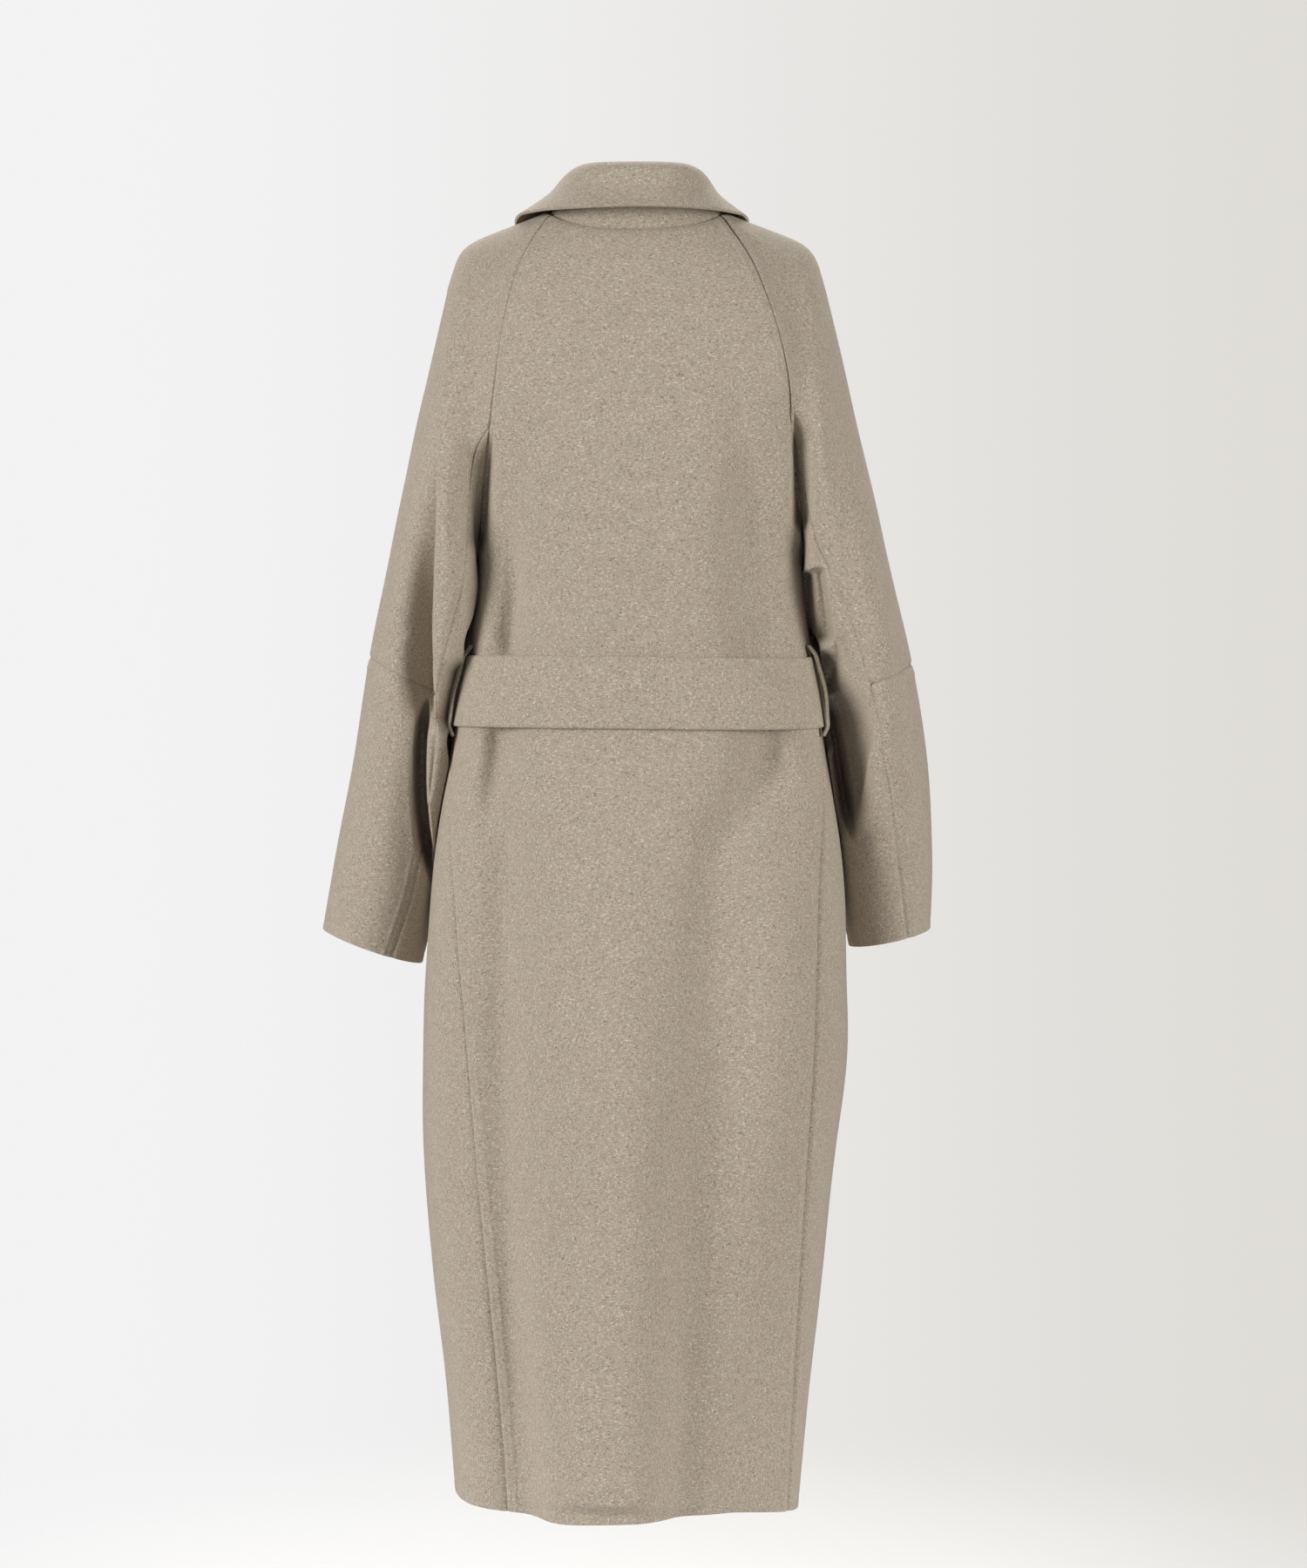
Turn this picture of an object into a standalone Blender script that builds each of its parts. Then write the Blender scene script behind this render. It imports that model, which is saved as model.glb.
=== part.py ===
"""Long belted coat with raglan sleeves, hollow, in the form it has when worn.

Metres, +Z up. The coat faces -Y, so +X is the wearer's left. The origin is the
middle of the neck opening, level with the points where shoulder and neck meet.
"""

import math
from collections import namedtuple

import bmesh
import bpy
from mathutils import Vector

# Driving dimensions
COAT_DROP = 1.194        # neck point to hem
UNDERARM = -0.320        # level where the sleeve and both body panels meet
NECK_HALF = 0.080        # centre back to the raglan seam, along X
NECK_DIP = 0.016         # the neck seam is this much lower at centre back
FRONT_CORNER = -0.022    # level where the front raglan seam meets the neck
FRONT_NECK = -0.075      # level of the neck seam at centre front
WALL = 0.0026            # double-faced wool
SEAM_GAP = 0.0003
FRONT_LAP = 0.065        # each front runs this far past centre front
LAP_GAP = 0.0014         # between the two fronts where they lap
LAP_DROP = 0.003         # the under front's neck edge is this much lower
NECK_LAP = 0.035         # the same, at the neck
BELT_LEVEL = -0.444
BELT_WIDTH = 0.066
BELT_WALL = 0.0045
BELT_LIFT = 0.0010       # belt to body
SLEEVE_CLEAR = 0.003     # sleeve to body
SLEEVE_HOLLOW = 0.010    # more than that behind, where the sleeve stands off
SLEEVE_SOFTNESS = 0.006  # how softly the sleeve bends away from the body
HEM_RISE = 0.004         # the hem is higher on the wearer's left
HEM_FALL = 0.014         # and lower on the right

# Sections of the body, from the neck down. half: half width. shift: middle, to
# the wearer's left. back, front: depth each way. power: 2 is an ellipse, more is
# squarer. seam_left, seam_right: quarter turns from centre back to the seam.
Section = namedtuple("Section", "z half shift back front power seam_left seam_right")
BODY = (
    Section(0.010, 0.094, 0.000, 0.056, 0.050, 2.4, 1.00, 1.00),
    Section(-0.022, 0.130, 0.000, 0.076, 0.068, 2.4, 1.00, 1.00),
    Section(-0.055, 0.178, -0.001, 0.091, 0.088, 2.6, 1.00, 1.00),
    Section(-0.107, 0.205, -0.004, 0.107, 0.108, 2.8, 1.00, 1.00),
    Section(-0.165, 0.204, -0.006, 0.113, 0.126, 2.8, 1.00, 1.00),
    Section(-0.225, 0.188, -0.006, 0.113, 0.131, 2.7, 1.00, 1.00),
    Section(-0.275, 0.168, -0.005, 0.111, 0.129, 2.6, 1.00, 1.00),
    Section(-0.320, 0.153, -0.004, 0.109, 0.125, 2.5, 1.00, 1.00),
    Section(-0.410, 0.161, -0.003, 0.103, 0.115, 2.5, 0.93, 0.90),
    Section(-0.490, 0.174, -0.002, 0.107, 0.117, 2.5, 0.86, 0.82),
    Section(-0.600, 0.191, -0.002, 0.125, 0.128, 2.4, 0.70, 0.69),
    Section(-0.720, 0.198, 0.000, 0.138, 0.135, 2.4, 0.60, 0.64),
    Section(-0.790, 0.199, 0.001, 0.143, 0.138, 2.4, 0.56, 0.64),
    Section(-0.870, 0.194, 0.006, 0.146, 0.140, 2.4, 0.53, 0.66),
    Section(-0.985, 0.183, 0.0075, 0.147, 0.138, 2.4, 0.50, 0.68),
    Section(-1.100, 0.170, 0.0075, 0.146, 0.134, 2.4, 0.48, 0.72),
    Section(-1.215, 0.160, 0.0085, 0.145, 0.130, 2.4, 0.47, 0.76),
)

# Raglan seams: distance from centre back or centre front at each level.
Raglan = namedtuple("Raglan", "z across")
BACK_RAGLAN = (
    Raglan(0.000, NECK_HALF),
    Raglan(-0.026, 0.0975),
    Raglan(-0.053, 0.1110),
    Raglan(-0.107, 0.1270),
    Raglan(-0.161, 0.1360),
    Raglan(-0.215, 0.1425),
    Raglan(-0.270, 0.1480),
    Raglan(UNDERARM, 0.1530),
)
FRONT_RAGLAN = (
    Raglan(FRONT_CORNER, 0.0760),
    Raglan(-0.050, 0.0920),
    Raglan(-0.090, 0.1080),
    Raglan(-0.140, 0.1220),
    Raglan(-0.190, 0.1310),
    Raglan(-0.240, 0.1400),
    Raglan(-0.285, 0.1480),
    Raglan(UNDERARM, 0.1530),
)

# Soft folds of the body. turn: quarter turns from centre back, + to the wearer's
# left. width: half width in quarter turns. depth: + out, - in. fade: the length
# over which a fold dies away at each end, unless it runs out at the hem.
Fold = namedtuple("Fold", "top_z top_turn bottom_z bottom_turn width depth fade")
BODY_FOLDS = (
    Fold(-0.25, 0.56, -0.58, 0.46, 0.075, -0.011, 0.10),
    Fold(-0.48, 0.51, -1.30, 0.36, 0.130, -0.011, 0.12),
    Fold(-0.56, 0.30, -1.30, 0.235, 0.120, 0.007, 0.20),
    Fold(-0.88, 0.46, -1.30, 0.46, 0.130, -0.020, 0.30),
    Fold(-0.14, -0.40, -0.66, -0.48, 0.110, -0.011, 0.12),
    Fold(-0.50, -0.28, -1.30, -0.22, 0.130, -0.017, 0.15),
    Fold(-0.72, -0.46, -1.45, -0.48, 0.200, -0.030, 0.55),
    Fold(-0.26, 1.42, -0.60, 1.50, 0.090, -0.010, 0.10),
    Fold(-0.50, 1.36, -1.30, 1.30, 0.130, -0.011, 0.20),
    Fold(-0.28, -1.40, -0.62, -1.46, 0.090, -0.011, 0.10),
    Fold(-0.52, -1.30, -1.30, -1.34, 0.130, -0.012, 0.20),
)

# Rings of a sleeve. station: distance from the neck along the top. outer, inner:
# the ends of the ring seen from behind. back, front: depth from mid. seam: angle
# of the back seam, from the outer end round by the back.
Ring = namedtuple("Ring", "station outer_x outer_z inner_x inner_z back front mid seam")
LEFT_RINGS = (
    Ring(0.062, 0.148, -0.0205, 0.1520, -0.333, 0.091, 0.092, 0.000, 101),
    Ring(0.082, 0.164, -0.032, 0.1515, -0.338, 0.090, 0.091, 0.000, 103),
    Ring(0.102, 0.172, -0.050, 0.1505, -0.342, 0.091, 0.089, -0.001, 107),
    Ring(0.150, 0.184, -0.098, 0.1480, -0.352, 0.093, 0.086, -0.004, 114),
    Ring(0.245, 0.206, -0.190, 0.1440, -0.372, 0.095, 0.078, -0.012, 120),
    Ring(0.358, 0.229, -0.300, 0.1450, -0.408, 0.090, 0.072, -0.017, 116),
    Ring(0.475, 0.252, -0.414, 0.1560, -0.460, 0.081, 0.067, -0.022, 116),
    Ring(0.572, 0.268, -0.510, 0.1700, -0.544, 0.072, 0.064, -0.031, 118),
    Ring(0.667, 0.286, -0.603, 0.1860, -0.628, 0.063, 0.061, -0.043, 118),
    Ring(0.738, 0.299, -0.673, 0.2035, -0.706, 0.055, 0.058, -0.052, 106),
)
RIGHT_RINGS = (
    Ring(0.062, 0.147, -0.0205, 0.1600, -0.333, 0.091, 0.092, 0.000, 101),
    Ring(0.082, 0.164, -0.032, 0.1595, -0.338, 0.090, 0.091, 0.000, 102),
    Ring(0.102, 0.173, -0.050, 0.1585, -0.342, 0.091, 0.089, -0.001, 104),
    Ring(0.150, 0.186, -0.098, 0.1560, -0.352, 0.094, 0.086, -0.004, 105),
    Ring(0.245, 0.207, -0.190, 0.1520, -0.372, 0.096, 0.078, -0.012, 101),
    Ring(0.358, 0.233, -0.300, 0.1520, -0.408, 0.091, 0.072, -0.017, 93),
    Ring(0.475, 0.261, -0.420, 0.1610, -0.460, 0.082, 0.067, -0.023, 84),
    Ring(0.572, 0.276, -0.510, 0.1750, -0.540, 0.074, 0.064, -0.033, 80),
    Ring(0.667, 0.282, -0.603, 0.1900, -0.622, 0.065, 0.061, -0.045, 77),
    Ring(0.738, 0.281, -0.673, 0.2030, -0.690, 0.057, 0.058, -0.054, 69),
)
ELBOW = 0.475            # station of the cross seam
CUFF = 0.738
NECK_ANGLE = 36          # half of the sleeve's angle that ends at the neck

# Folds of a sleeve: angle round the sleeve at each end, half widths towards the
# outer and the inner side, depth, and the stations it runs between.
SleeveFold = namedtuple("SleeveFold", "top top_angle bottom bottom_angle outer inner depth fade")
LEFT_FOLDS = (
    SleeveFold(0.24, 70, 0.70, 114, 24, 20, -0.011, 0.14),
    SleeveFold(0.14, 100, 0.66, 144, 22, 26, 0.010, 0.16),
    SleeveFold(0.30, 250, 0.70, 256, 24, 24, -0.010, 0.14),
)
RIGHT_FOLDS = (
    SleeveFold(0.30, 140, 0.66, 114, 26, 26, -0.016, 0.12),
    SleeveFold(0.20, 36, 0.66, 90, 26, 22, 0.009, 0.16),
    SleeveFold(0.30, 252, 0.70, 256, 24, 24, -0.010, 0.14),
)

# Collar, on the wearer's left, by share of the neck seam from centre back to centre
# front: where the roll is at its highest, and the edge of the fall. The first row,
# past centre back, keeps both lines level there.
Collar = namedtuple("Collar", "share roll_x roll_y roll_z edge_x edge_y edge_z")
COLLAR = (
    Collar(-0.18, -0.0320, 0.054, 0.047, -0.054, 0.0830, 0.003),
    Collar(0.00, 0.0000, 0.060, 0.047, 0.000, 0.0910, 0.004),
    Collar(0.18, 0.0320, 0.054, 0.047, 0.054, 0.0830, 0.003),
    Collar(0.32, 0.0470, 0.033, 0.047, 0.092, 0.0540, 0.002),
    Collar(0.47, 0.0525, -0.003, 0.044, 0.110, -0.0040, 0.000),
    Collar(0.56, 0.0510, -0.026, 0.036, 0.109, -0.0440, -0.019),
    Collar(0.66, 0.0460, -0.048, 0.016, 0.101, -0.0800, -0.048),
    Collar(0.80, 0.0300, -0.069, -0.014, 0.077, -0.1080, -0.093),
    Collar(1.00, 0.0120, -0.082, -0.038, 0.046, -0.1250, -0.140),
)
NECK_BACK_SHARE = 0.32
NECK_FRONT_SHARE = 0.62
ROLL_RADIUS = 0.0052
ROLL_BREADTH = 0.0135
SHOULDER_NECK = Vector((0.0845, -0.006, 0.003))

# Belt loops, knot and hanging ends
LOOP_WIDTH = 0.009
LOOP_WALL = 0.0022
LOOP_REACH = 0.009       # the loop runs this far past each edge of the belt
LOOP_TURNS = {           # quarter turns from centre back, at the lower and the upper end
    1: (0.835, 0.775),
    -1: (0.810, 0.770),
}
LOOP_ROWS = [            # height from the belt's middle, and share of the full lift
    (way * (BELT_WIDTH / 2 + past), lift)
    for way, steps in (
        (-1, ((LOOP_REACH, 0.0), (0.0065, 0.25), (0.0030, 1.05), (-0.013, 1.0), (-0.033, 1.0))),
        (1, ((-0.013, 1.0), (0.0030, 1.05), (0.0065, 0.25), (LOOP_REACH, 0.0))),
    )
    for past, lift in steps
]
KNOT_HALF = Vector((0.026, 0.0150, 0.034))
End = namedtuple("End", "side length top_x bottom_x top_width bottom_width")
BELT_ENDS = {
    "belt_end_left": End(1, 0.400, 0.0125, 0.052, 0.022, BELT_WIDTH),
    "belt_end_right": End(-1, 0.360, 0.0125, 0.046, 0.022, BELT_WIDTH),
}

# How finely each piece is divided
BACK_COLUMNS = 20
FRONT_COLUMNS = 12
LAP_COLUMNS = 3
SKIRT_ROWS = 24
BACK_YOKE = (UNDERARM, -0.314, -0.297, -0.268, -0.235, -0.200, -0.160, -0.120, -0.080, -0.040, 0.0)
FRONT_YOKE = (UNDERARM, -0.314, -0.298, -0.268, -0.232, -0.190, -0.148, -0.105, -0.062, FRONT_CORNER)
SEAM_ROW = 5             # the sleeve's back seam starts at this row of the back yoke
NECK_STRIP = 4           # sleeve columns that end at the neck
UPPER_STATIONS = (0.0, 0.030, 0.058, 0.078, 0.096, 0.130, 0.185, 0.245, 0.305, 0.362, 0.418, ELBOW)
LOWER_STATIONS = (ELBOW, 0.515, 0.558, 0.602, 0.646, 0.690, CUFF)

WOOL_COLOUR = (0.415, 0.348, 0.268, 1.0)
WOOL_ROUGHNESS = 0.92


def blend(amount, start, end):
    return start + (end - start) * amount


def ease(value, low, high):
    """0 below low, 1 above high, and smooth between them."""
    share = min(1.0, max(0.0, (value - low) / (high - low)))
    return share * share * (3 - 2 * share)


def curve_through(knots, values, at):
    """A smooth curve through values (numbers or vectors) at rising knots."""
    last = len(knots) - 1
    span = 0
    while span < last - 1 and at > knots[span + 1]:
        span += 1

    def slope(i):
        low, high = max(i - 1, 0), min(i + 1, last)
        return (values[high] - values[low]) / (knots[high] - knots[low])

    width = knots[span + 1] - knots[span]
    t = (at - knots[span]) / width
    start_slope, end_slope = slope(span) * width, slope(span + 1) * width
    return (
        values[span] * (2 * t**3 - 3 * t**2 + 1)
        + start_slope * (t**3 - 2 * t**2 + t)
        + values[span + 1] * (3 * t**2 - 2 * t**3)
        + end_slope * (t**3 - t**2)
    )


def look_up(table, key, column, at):
    """One column of a table, smooth between its rows, which may rise or fall in key."""
    rows = sorted(table, key=lambda row: getattr(row, key))
    knots = [getattr(row, key) for row in rows]
    at = min(knots[-1], max(knots[0], at))
    return curve_through(knots, [getattr(row, column) for row in rows], at)


def body_size(z, column):
    return look_up(BODY, "z", column, z)


def body_fold(turn, z):
    """How far the folds move the body out at a place."""
    moved = 0.0
    for fold in BODY_FOLDS:
        share = (z - fold.top_z) / (fold.bottom_z - fold.top_z)
        if not 0 < share < 1:
            continue
        offset = (turn - blend(share, fold.top_turn, fold.bottom_turn)) / fold.width
        ends = ease(fold.top_z - z, 0, fold.fade)
        if fold.bottom_z > -COAT_DROP:
            ends *= ease(z - fold.bottom_z, 0, fold.fade)
        moved += fold.depth * ends * math.exp(-offset * offset)
    return moved


def body_point(turn, z, out=0.0, folds=True):
    """A point of the body's outer face, turn quarter turns from centre back."""
    across, along = math.sin(turn * math.pi / 2), math.cos(turn * math.pi / 2)
    power = body_size(z, "power")
    reach = (abs(across) ** power + abs(along) ** power) ** (-1 / power)
    depth = body_size(z, "back" if along > 0 else "front")
    point = Vector((body_size(z, "half") * across, depth * along, 0.0)) * reach
    if folds:
        out += body_fold(turn, z)
    point += point.normalized() * out
    return point + Vector((body_size(z, "shift"), 0.0, z))


def turn_at(across, z):
    """Quarter turns from the middle of a side to a distance across, on a section."""
    share = min(1.0, across / body_size(z, "half"))
    power = body_size(z, "power")
    return math.atan2(share, (1 - share**power) ** (1 / power)) / (math.pi / 2)


def side_seam(z, side):
    """Where back and front meet, in quarter turns from centre back."""
    return body_size(z, "seam_left" if side > 0 else "seam_right")


def back_edge(z, side):
    """The back's side edge: the side seam up to the underarm, then the raglan seam."""
    if z <= UNDERARM:
        return side_seam(z, side)
    return turn_at(look_up(BACK_RAGLAN, "z", "across", z), z)


def front_edge(z, side):
    if z <= UNDERARM:
        return side_seam(z, side)
    return 2 - turn_at(look_up(FRONT_RAGLAN, "z", "across", z), z)


def skirt_level(row, turn):
    """Level of a row below the underarm. The hem is tilted."""
    share = 1 - row / SKIRT_ROWS
    tilt = math.sin(turn * math.pi / 2) ** 5
    tilt *= HEM_RISE if tilt > 0 else HEM_FALL
    return UNDERARM - share * (COAT_DROP + UNDERARM) + tilt * share * share


def yoke_level(z, top, side_top):
    """A yoke row's level where the neck seam is at top and not at side_top."""
    base = -0.2
    if z <= base:
        return z
    return base + (z - base) * (top - base) / (side_top - base)


def back_point(across, row, out=0.0):
    """The back, across from -1 to 1 and by rows from the hem up."""
    side = 1 if across >= 0 else -1
    if row <= SKIRT_ROWS:
        level = UNDERARM - (1 - row / SKIRT_ROWS) * (COAT_DROP + UNDERARM)
        turn = across * side_seam(level, side)
        return body_point(turn, skirt_level(row, turn), out)
    level = yoke_row(BACK_YOKE, row)
    edge = back_edge(level, side)
    even = blend(ease(level, UNDERARM, BACK_YOKE[SEAM_ROW]), 1.0, edge)
    turn = across * (even + (edge - even) * across * across)
    neck = -NECK_DIP * (1 - across * across)
    return body_point(turn, yoke_level(level, neck, 0.0), out)


def yoke_row(levels, row):
    place = min(row - SKIRT_ROWS, len(levels) - 1)
    step = min(int(place), len(levels) - 2)
    return blend(place - step, levels[step], levels[step + 1])


def front_point(side, across, row, out=0.0):
    """A front, across from 0 at the side to 1 at centre front and 2 at its edge."""
    if row <= SKIRT_ROWS:
        level = UNDERARM - (1 - row / SKIRT_ROWS) * (COAT_DROP + UNDERARM)
    else:
        level = yoke_row(FRONT_YOKE, row)
    reach = min(across, 1.0)
    edge = front_edge(level, side)
    even = edge
    if row > SKIRT_ROWS:
        even = blend(ease(level, UNDERARM, BACK_YOKE[SEAM_ROW]), 1.0, edge)
    turn = blend(reach, even, 2.0) + (edge - even) * (1 - reach) ** 2
    lap = blend(ease(level, -0.22, FRONT_CORNER), FRONT_LAP, NECK_LAP)
    if across > 1:
        turn += (across - 1) * turn_at(lap, level)
    turn *= side
    if row <= SKIRT_ROWS:
        z = skirt_level(row, turn)
    else:
        neck = blend(math.sin(reach * math.pi / 2), FRONT_CORNER, FRONT_NECK)
        if side > 0:
            neck -= LAP_DROP * ease(reach, 0.1, 0.4)
        z = yoke_level(level, neck, FRONT_CORNER)
    point = body_point(turn, z, out)
    if side > 0:
        under = ease(-point.x, -(FRONT_LAP + 0.050), -(FRONT_LAP + 0.012))
        point = body_point(turn, z, out - under * (WALL + LAP_GAP))
    return point


def raglan_loop(side, column):
    """The seam line that a sleeve starts from, by columns: the back raglan seam from
    the neck to the underarm, the front one up again, then along the neck."""
    back_rows, front_rows = len(BACK_YOKE) - 1, len(FRONT_YOKE) - 1
    if column <= back_rows:
        return back_point(side, SKIRT_ROWS + back_rows - column)
    if column <= back_rows + front_rows:
        return front_point(side, 0.0, SKIRT_ROWS + column - back_rows)
    share = (column - back_rows - front_rows) / NECK_STRIP
    front = front_point(side, 0.0, SKIRT_ROWS + front_rows)
    back = back_point(side, SKIRT_ROWS + back_rows)
    middle = Vector((SHOULDER_NECK.x * side, SHOULDER_NECK.y, SHOULDER_NECK.z))
    return curve_through((0.0, 0.5, 1.0), (front, middle, back), share)


def column_angle(column, seam):
    """The angle round a ring of a sleeve column, in degrees."""
    back_rows, front_rows = len(BACK_YOKE) - 1, len(FRONT_YOKE) - 1
    seam_column = back_rows - SEAM_ROW
    if column <= seam_column:
        return blend(column / seam_column, NECK_ANGLE, seam)
    if column <= back_rows:
        return blend((column - seam_column) / SEAM_ROW, seam, 180)
    if column <= back_rows + front_rows:
        return blend((column - back_rows) / front_rows, 180, 360 - NECK_ANGLE)
    return blend((column - back_rows - front_rows) / NECK_STRIP, 360 - NECK_ANGLE, 360 + NECK_ANGLE)


def sleeve_fold(folds, station, angle):
    moved = 0.0
    for fold in folds:
        share = (station - fold.top) / (fold.bottom - fold.top)
        if not 0 < share < 1:
            continue
        offset = angle - blend(share, fold.top_angle, fold.bottom_angle)
        offset /= fold.outer if offset < 0 else fold.inner
        ends = ease(station - fold.top, 0, fold.fade) * ease(fold.bottom - station, 0, fold.fade)
        moved += fold.depth * ends * math.exp(-offset * offset)
    return moved


def body_reach(y, z):
    """Half width of the body at a depth and level, with its belt."""
    depth = body_size(z, "back" if y > 0 else "front")
    power = body_size(z, "power")
    share = min(1.0, abs(y) / depth)
    reach = body_size(z, "half") * (1 - share**power) ** (1 / power)
    edge = BELT_WIDTH / 2 + LOOP_REACH
    band = ease(z, BELT_LEVEL - edge - 0.03, BELT_LEVEL - edge)
    band *= 1 - ease(z, BELT_LEVEL + edge, BELT_LEVEL + edge + 0.03)
    loop = (LOOP_WALL + 4 * SEAM_GAP) * ease(y, -0.010, 0.005)
    return reach + band * (BELT_WALL + BELT_LIFT + loop)


def sleeve_centre(side, station):
    rings = LEFT_RINGS if side > 0 else RIGHT_RINGS

    def at(column):
        return look_up(rings, "station", column, station)

    x = (at("outer_x") + at("inner_x")) / 2
    return Vector((x * side, at("mid"), (at("outer_z") + at("inner_z")) / 2))


def sleeve_point(side, column, station, out=0.0):
    """A point of a sleeve's outer face."""
    rings, folds = (LEFT_RINGS, LEFT_FOLDS) if side > 0 else (RIGHT_RINGS, RIGHT_FOLDS)
    knots, points = [0.0], [raglan_loop(side, column)]
    for ring in rings:
        angle = math.radians(column_angle(column, ring.seam))
        outer = Vector((ring.outer_x * side, ring.mid, ring.outer_z))
        inner = Vector((ring.inner_x * side, ring.mid, ring.inner_z))
        depth = ring.back if math.sin(angle) > 0 else ring.front
        knots.append(ring.station)
        points.append((outer + inner) / 2 + (outer - inner) / 2 * math.cos(angle)
                      + Vector((0.0, depth * math.sin(angle), 0.0)))
    point = curve_through(knots, points, station)
    seam = look_up(rings, "station", "seam", station)
    angle = column_angle(column, seam)
    centre = sleeve_centre(side, station)
    away = (point - centre).normalized()
    away.z *= 0.3
    point += away * (out + sleeve_fold(folds, station, angle))
    hollow = SLEEVE_HOLLOW * ease(point.y, -0.005, 0.045) * ease(-point.z, 0.325, 0.400)
    hollow *= 1 - ease(-point.z, 0.385, 0.425)
    room = SLEEVE_CLEAR * ease(station, 0.0, 0.05) + hollow
    least = body_reach(point.y, point.z) + room + side * body_size(point.z, "shift")
    if point.z < UNDERARM and station > 0:
        over = side * point.x - least
        softness = SLEEVE_SOFTNESS * ease(station, 0.0, 0.1)
        point.x = side * (least + (over + math.hypot(over, softness)) / 2)
    return point


def neck_seam(share):
    """The neck seam from centre back (0) to centre front (1 left, -1 right)."""
    side = 1 if share >= 0 else -1
    share = abs(share)
    back_top = SKIRT_ROWS + len(BACK_YOKE) - 1
    front_top = SKIRT_ROWS + len(FRONT_YOKE) - 1
    if share <= NECK_BACK_SHARE:
        return back_point(side * share / NECK_BACK_SHARE, back_top)
    if share <= NECK_FRONT_SHARE:
        strip = (NECK_FRONT_SHARE - share) / (NECK_FRONT_SHARE - NECK_BACK_SHARE)
        return raglan_loop(side, front_top + back_top - 2 * SKIRT_ROWS + NECK_STRIP * strip)
    point = front_point(-1, (share - NECK_FRONT_SHARE) / (1 - NECK_FRONT_SHARE), front_top)
    point.x *= -side
    return point


def collar_guide(share, name):
    """A point of the roll line or of the fall's edge."""
    side = 1 if share >= 0 else -1
    x, y, z = (look_up(COLLAR, "share", name + axis, abs(share)) for axis in ("_x", "_y", "_z"))
    return Vector((x * side, y, z))


def level_outward(ahead, behind):
    """The level direction out of the neck, from two points of a line round it."""
    along = ahead - behind
    return Vector((along.y, -along.x, 0.0)).normalized() * -1


def collar_point(share, along):
    """The collar's face, from the neck seam (0) over the roll to the fall's edge (1)."""
    roll, edge = collar_guide(share, "roll"), collar_guide(share, "edge")
    outward = edge - roll
    outward.z = 0.0
    outward.normalize()
    up = Vector((0.0, 0.0, 1.0))
    gap = SEAM_GAP * blend(ease(abs(share), 0.3, 0.7), 1.0, 3.0)
    inner, outer = max(-1.0, share - 0.03), min(1.0, share + 0.03)
    foot = neck_seam(share) - level_outward(neck_seam(outer), neck_seam(inner)) * WALL + up * gap
    stand_top = roll - (outward + up) * ROLL_RADIUS
    fall_top = roll + outward * ROLL_BREADTH - up * ROLL_RADIUS * 1.2
    sag = blend(ease(abs(share), 0.45, 0.75), -0.005, 0.003)
    points = (
        foot,
        foot.lerp(stand_top, 0.5),
        stand_top,
        roll,
        fall_top,
        fall_top.lerp(edge, 0.5) + outward * sag,
        edge,
    )
    return curve_through((0.0, 0.20, 0.40, 0.47, 0.58, 0.78, 1.0), points, along)


def belt_point(turn, up, out):
    """A point off the body's face at the belt: up from -1 to 1 across its width."""
    z = BELT_LEVEL + up * BELT_WIDTH / 2
    return body_point(turn, z, BELT_LIFT + out, folds=False)


def loop_turn(side, height):
    """Where a loop is at a height from the belt's middle. It leans a little."""
    share = 0.5 + height / (BELT_WIDTH + 2 * LOOP_REACH)
    return side * blend(share, *LOOP_TURNS[side])


def loop_point(side, row, across):
    """The outer face of a belt loop, by rows from its lower end."""
    height, lift = LOOP_ROWS[row]
    z = BELT_LEVEL + height
    turn = loop_turn(side, height)
    out = SEAM_GAP + LOOP_WALL + lift * (BELT_WALL + BELT_LIFT + SEAM_GAP)
    middle = body_point(turn, z, out, folds=False)
    ahead = body_point(turn + 0.01, z, out, folds=False)
    return middle + (ahead - middle).normalized() * across * LOOP_WIDTH / 2


def belt_end_point(end, across, along):
    """The outer face of a hanging belt end, down from the knot."""
    top = BELT_LEVEL - KNOT_HALF.z - SEAM_GAP
    z = top - along * end.length
    open_out = ease(along, 0.0, 0.45)
    middle = end.side * blend(ease(along, -0.2, 0.9), end.top_x, end.bottom_x)
    x = middle + across * blend(open_out, end.top_width, end.bottom_width) / 2
    turn = 2 - turn_at(abs(x), z)
    face = body_point(math.copysign(turn, x), z, folds=False)
    sway = 0.0025 * math.sin(across * 2.0) * open_out
    lift = BELT_WALL + 2 * SEAM_GAP + 0.004 * ease(along, 0.0, 0.3) + sway
    return Vector((x, face.y - lift, z))


def away_from(surface, u, v, step=0.02):
    """The outward normal of a surface given by two numbers, by small steps."""
    du = surface(u + step, v) - surface(u - step, v)
    dv = surface(u, v + step) - surface(u, v - step)
    return du.cross(dv).normalized()


def cloth_material(name):
    material = bpy.data.materials.new(name + "_wool")
    material.use_nodes = True
    shader = material.node_tree.nodes["Principled BSDF"]
    shader.inputs["Base Color"].default_value = WOOL_COLOUR
    shader.inputs["Roughness"].default_value = WOOL_ROUGHNESS
    shader.inputs["Metallic"].default_value = 0.0
    return material


def add_object(name, bm, collection):
    mesh = bpy.data.meshes.new(name)
    bmesh.ops.recalc_face_normals(bm, faces=bm.faces)
    bmesh.ops.triangulate(bm, faces=bm.faces)
    bm.to_mesh(mesh)
    bm.free()
    mesh.materials.append(cloth_material(name))
    mesh.shade_smooth()
    mesh.set_sharp_from_angle(angle=math.radians(40))
    made = bpy.data.objects.new(name, mesh)
    collection.objects.link(made)
    return made


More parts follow.
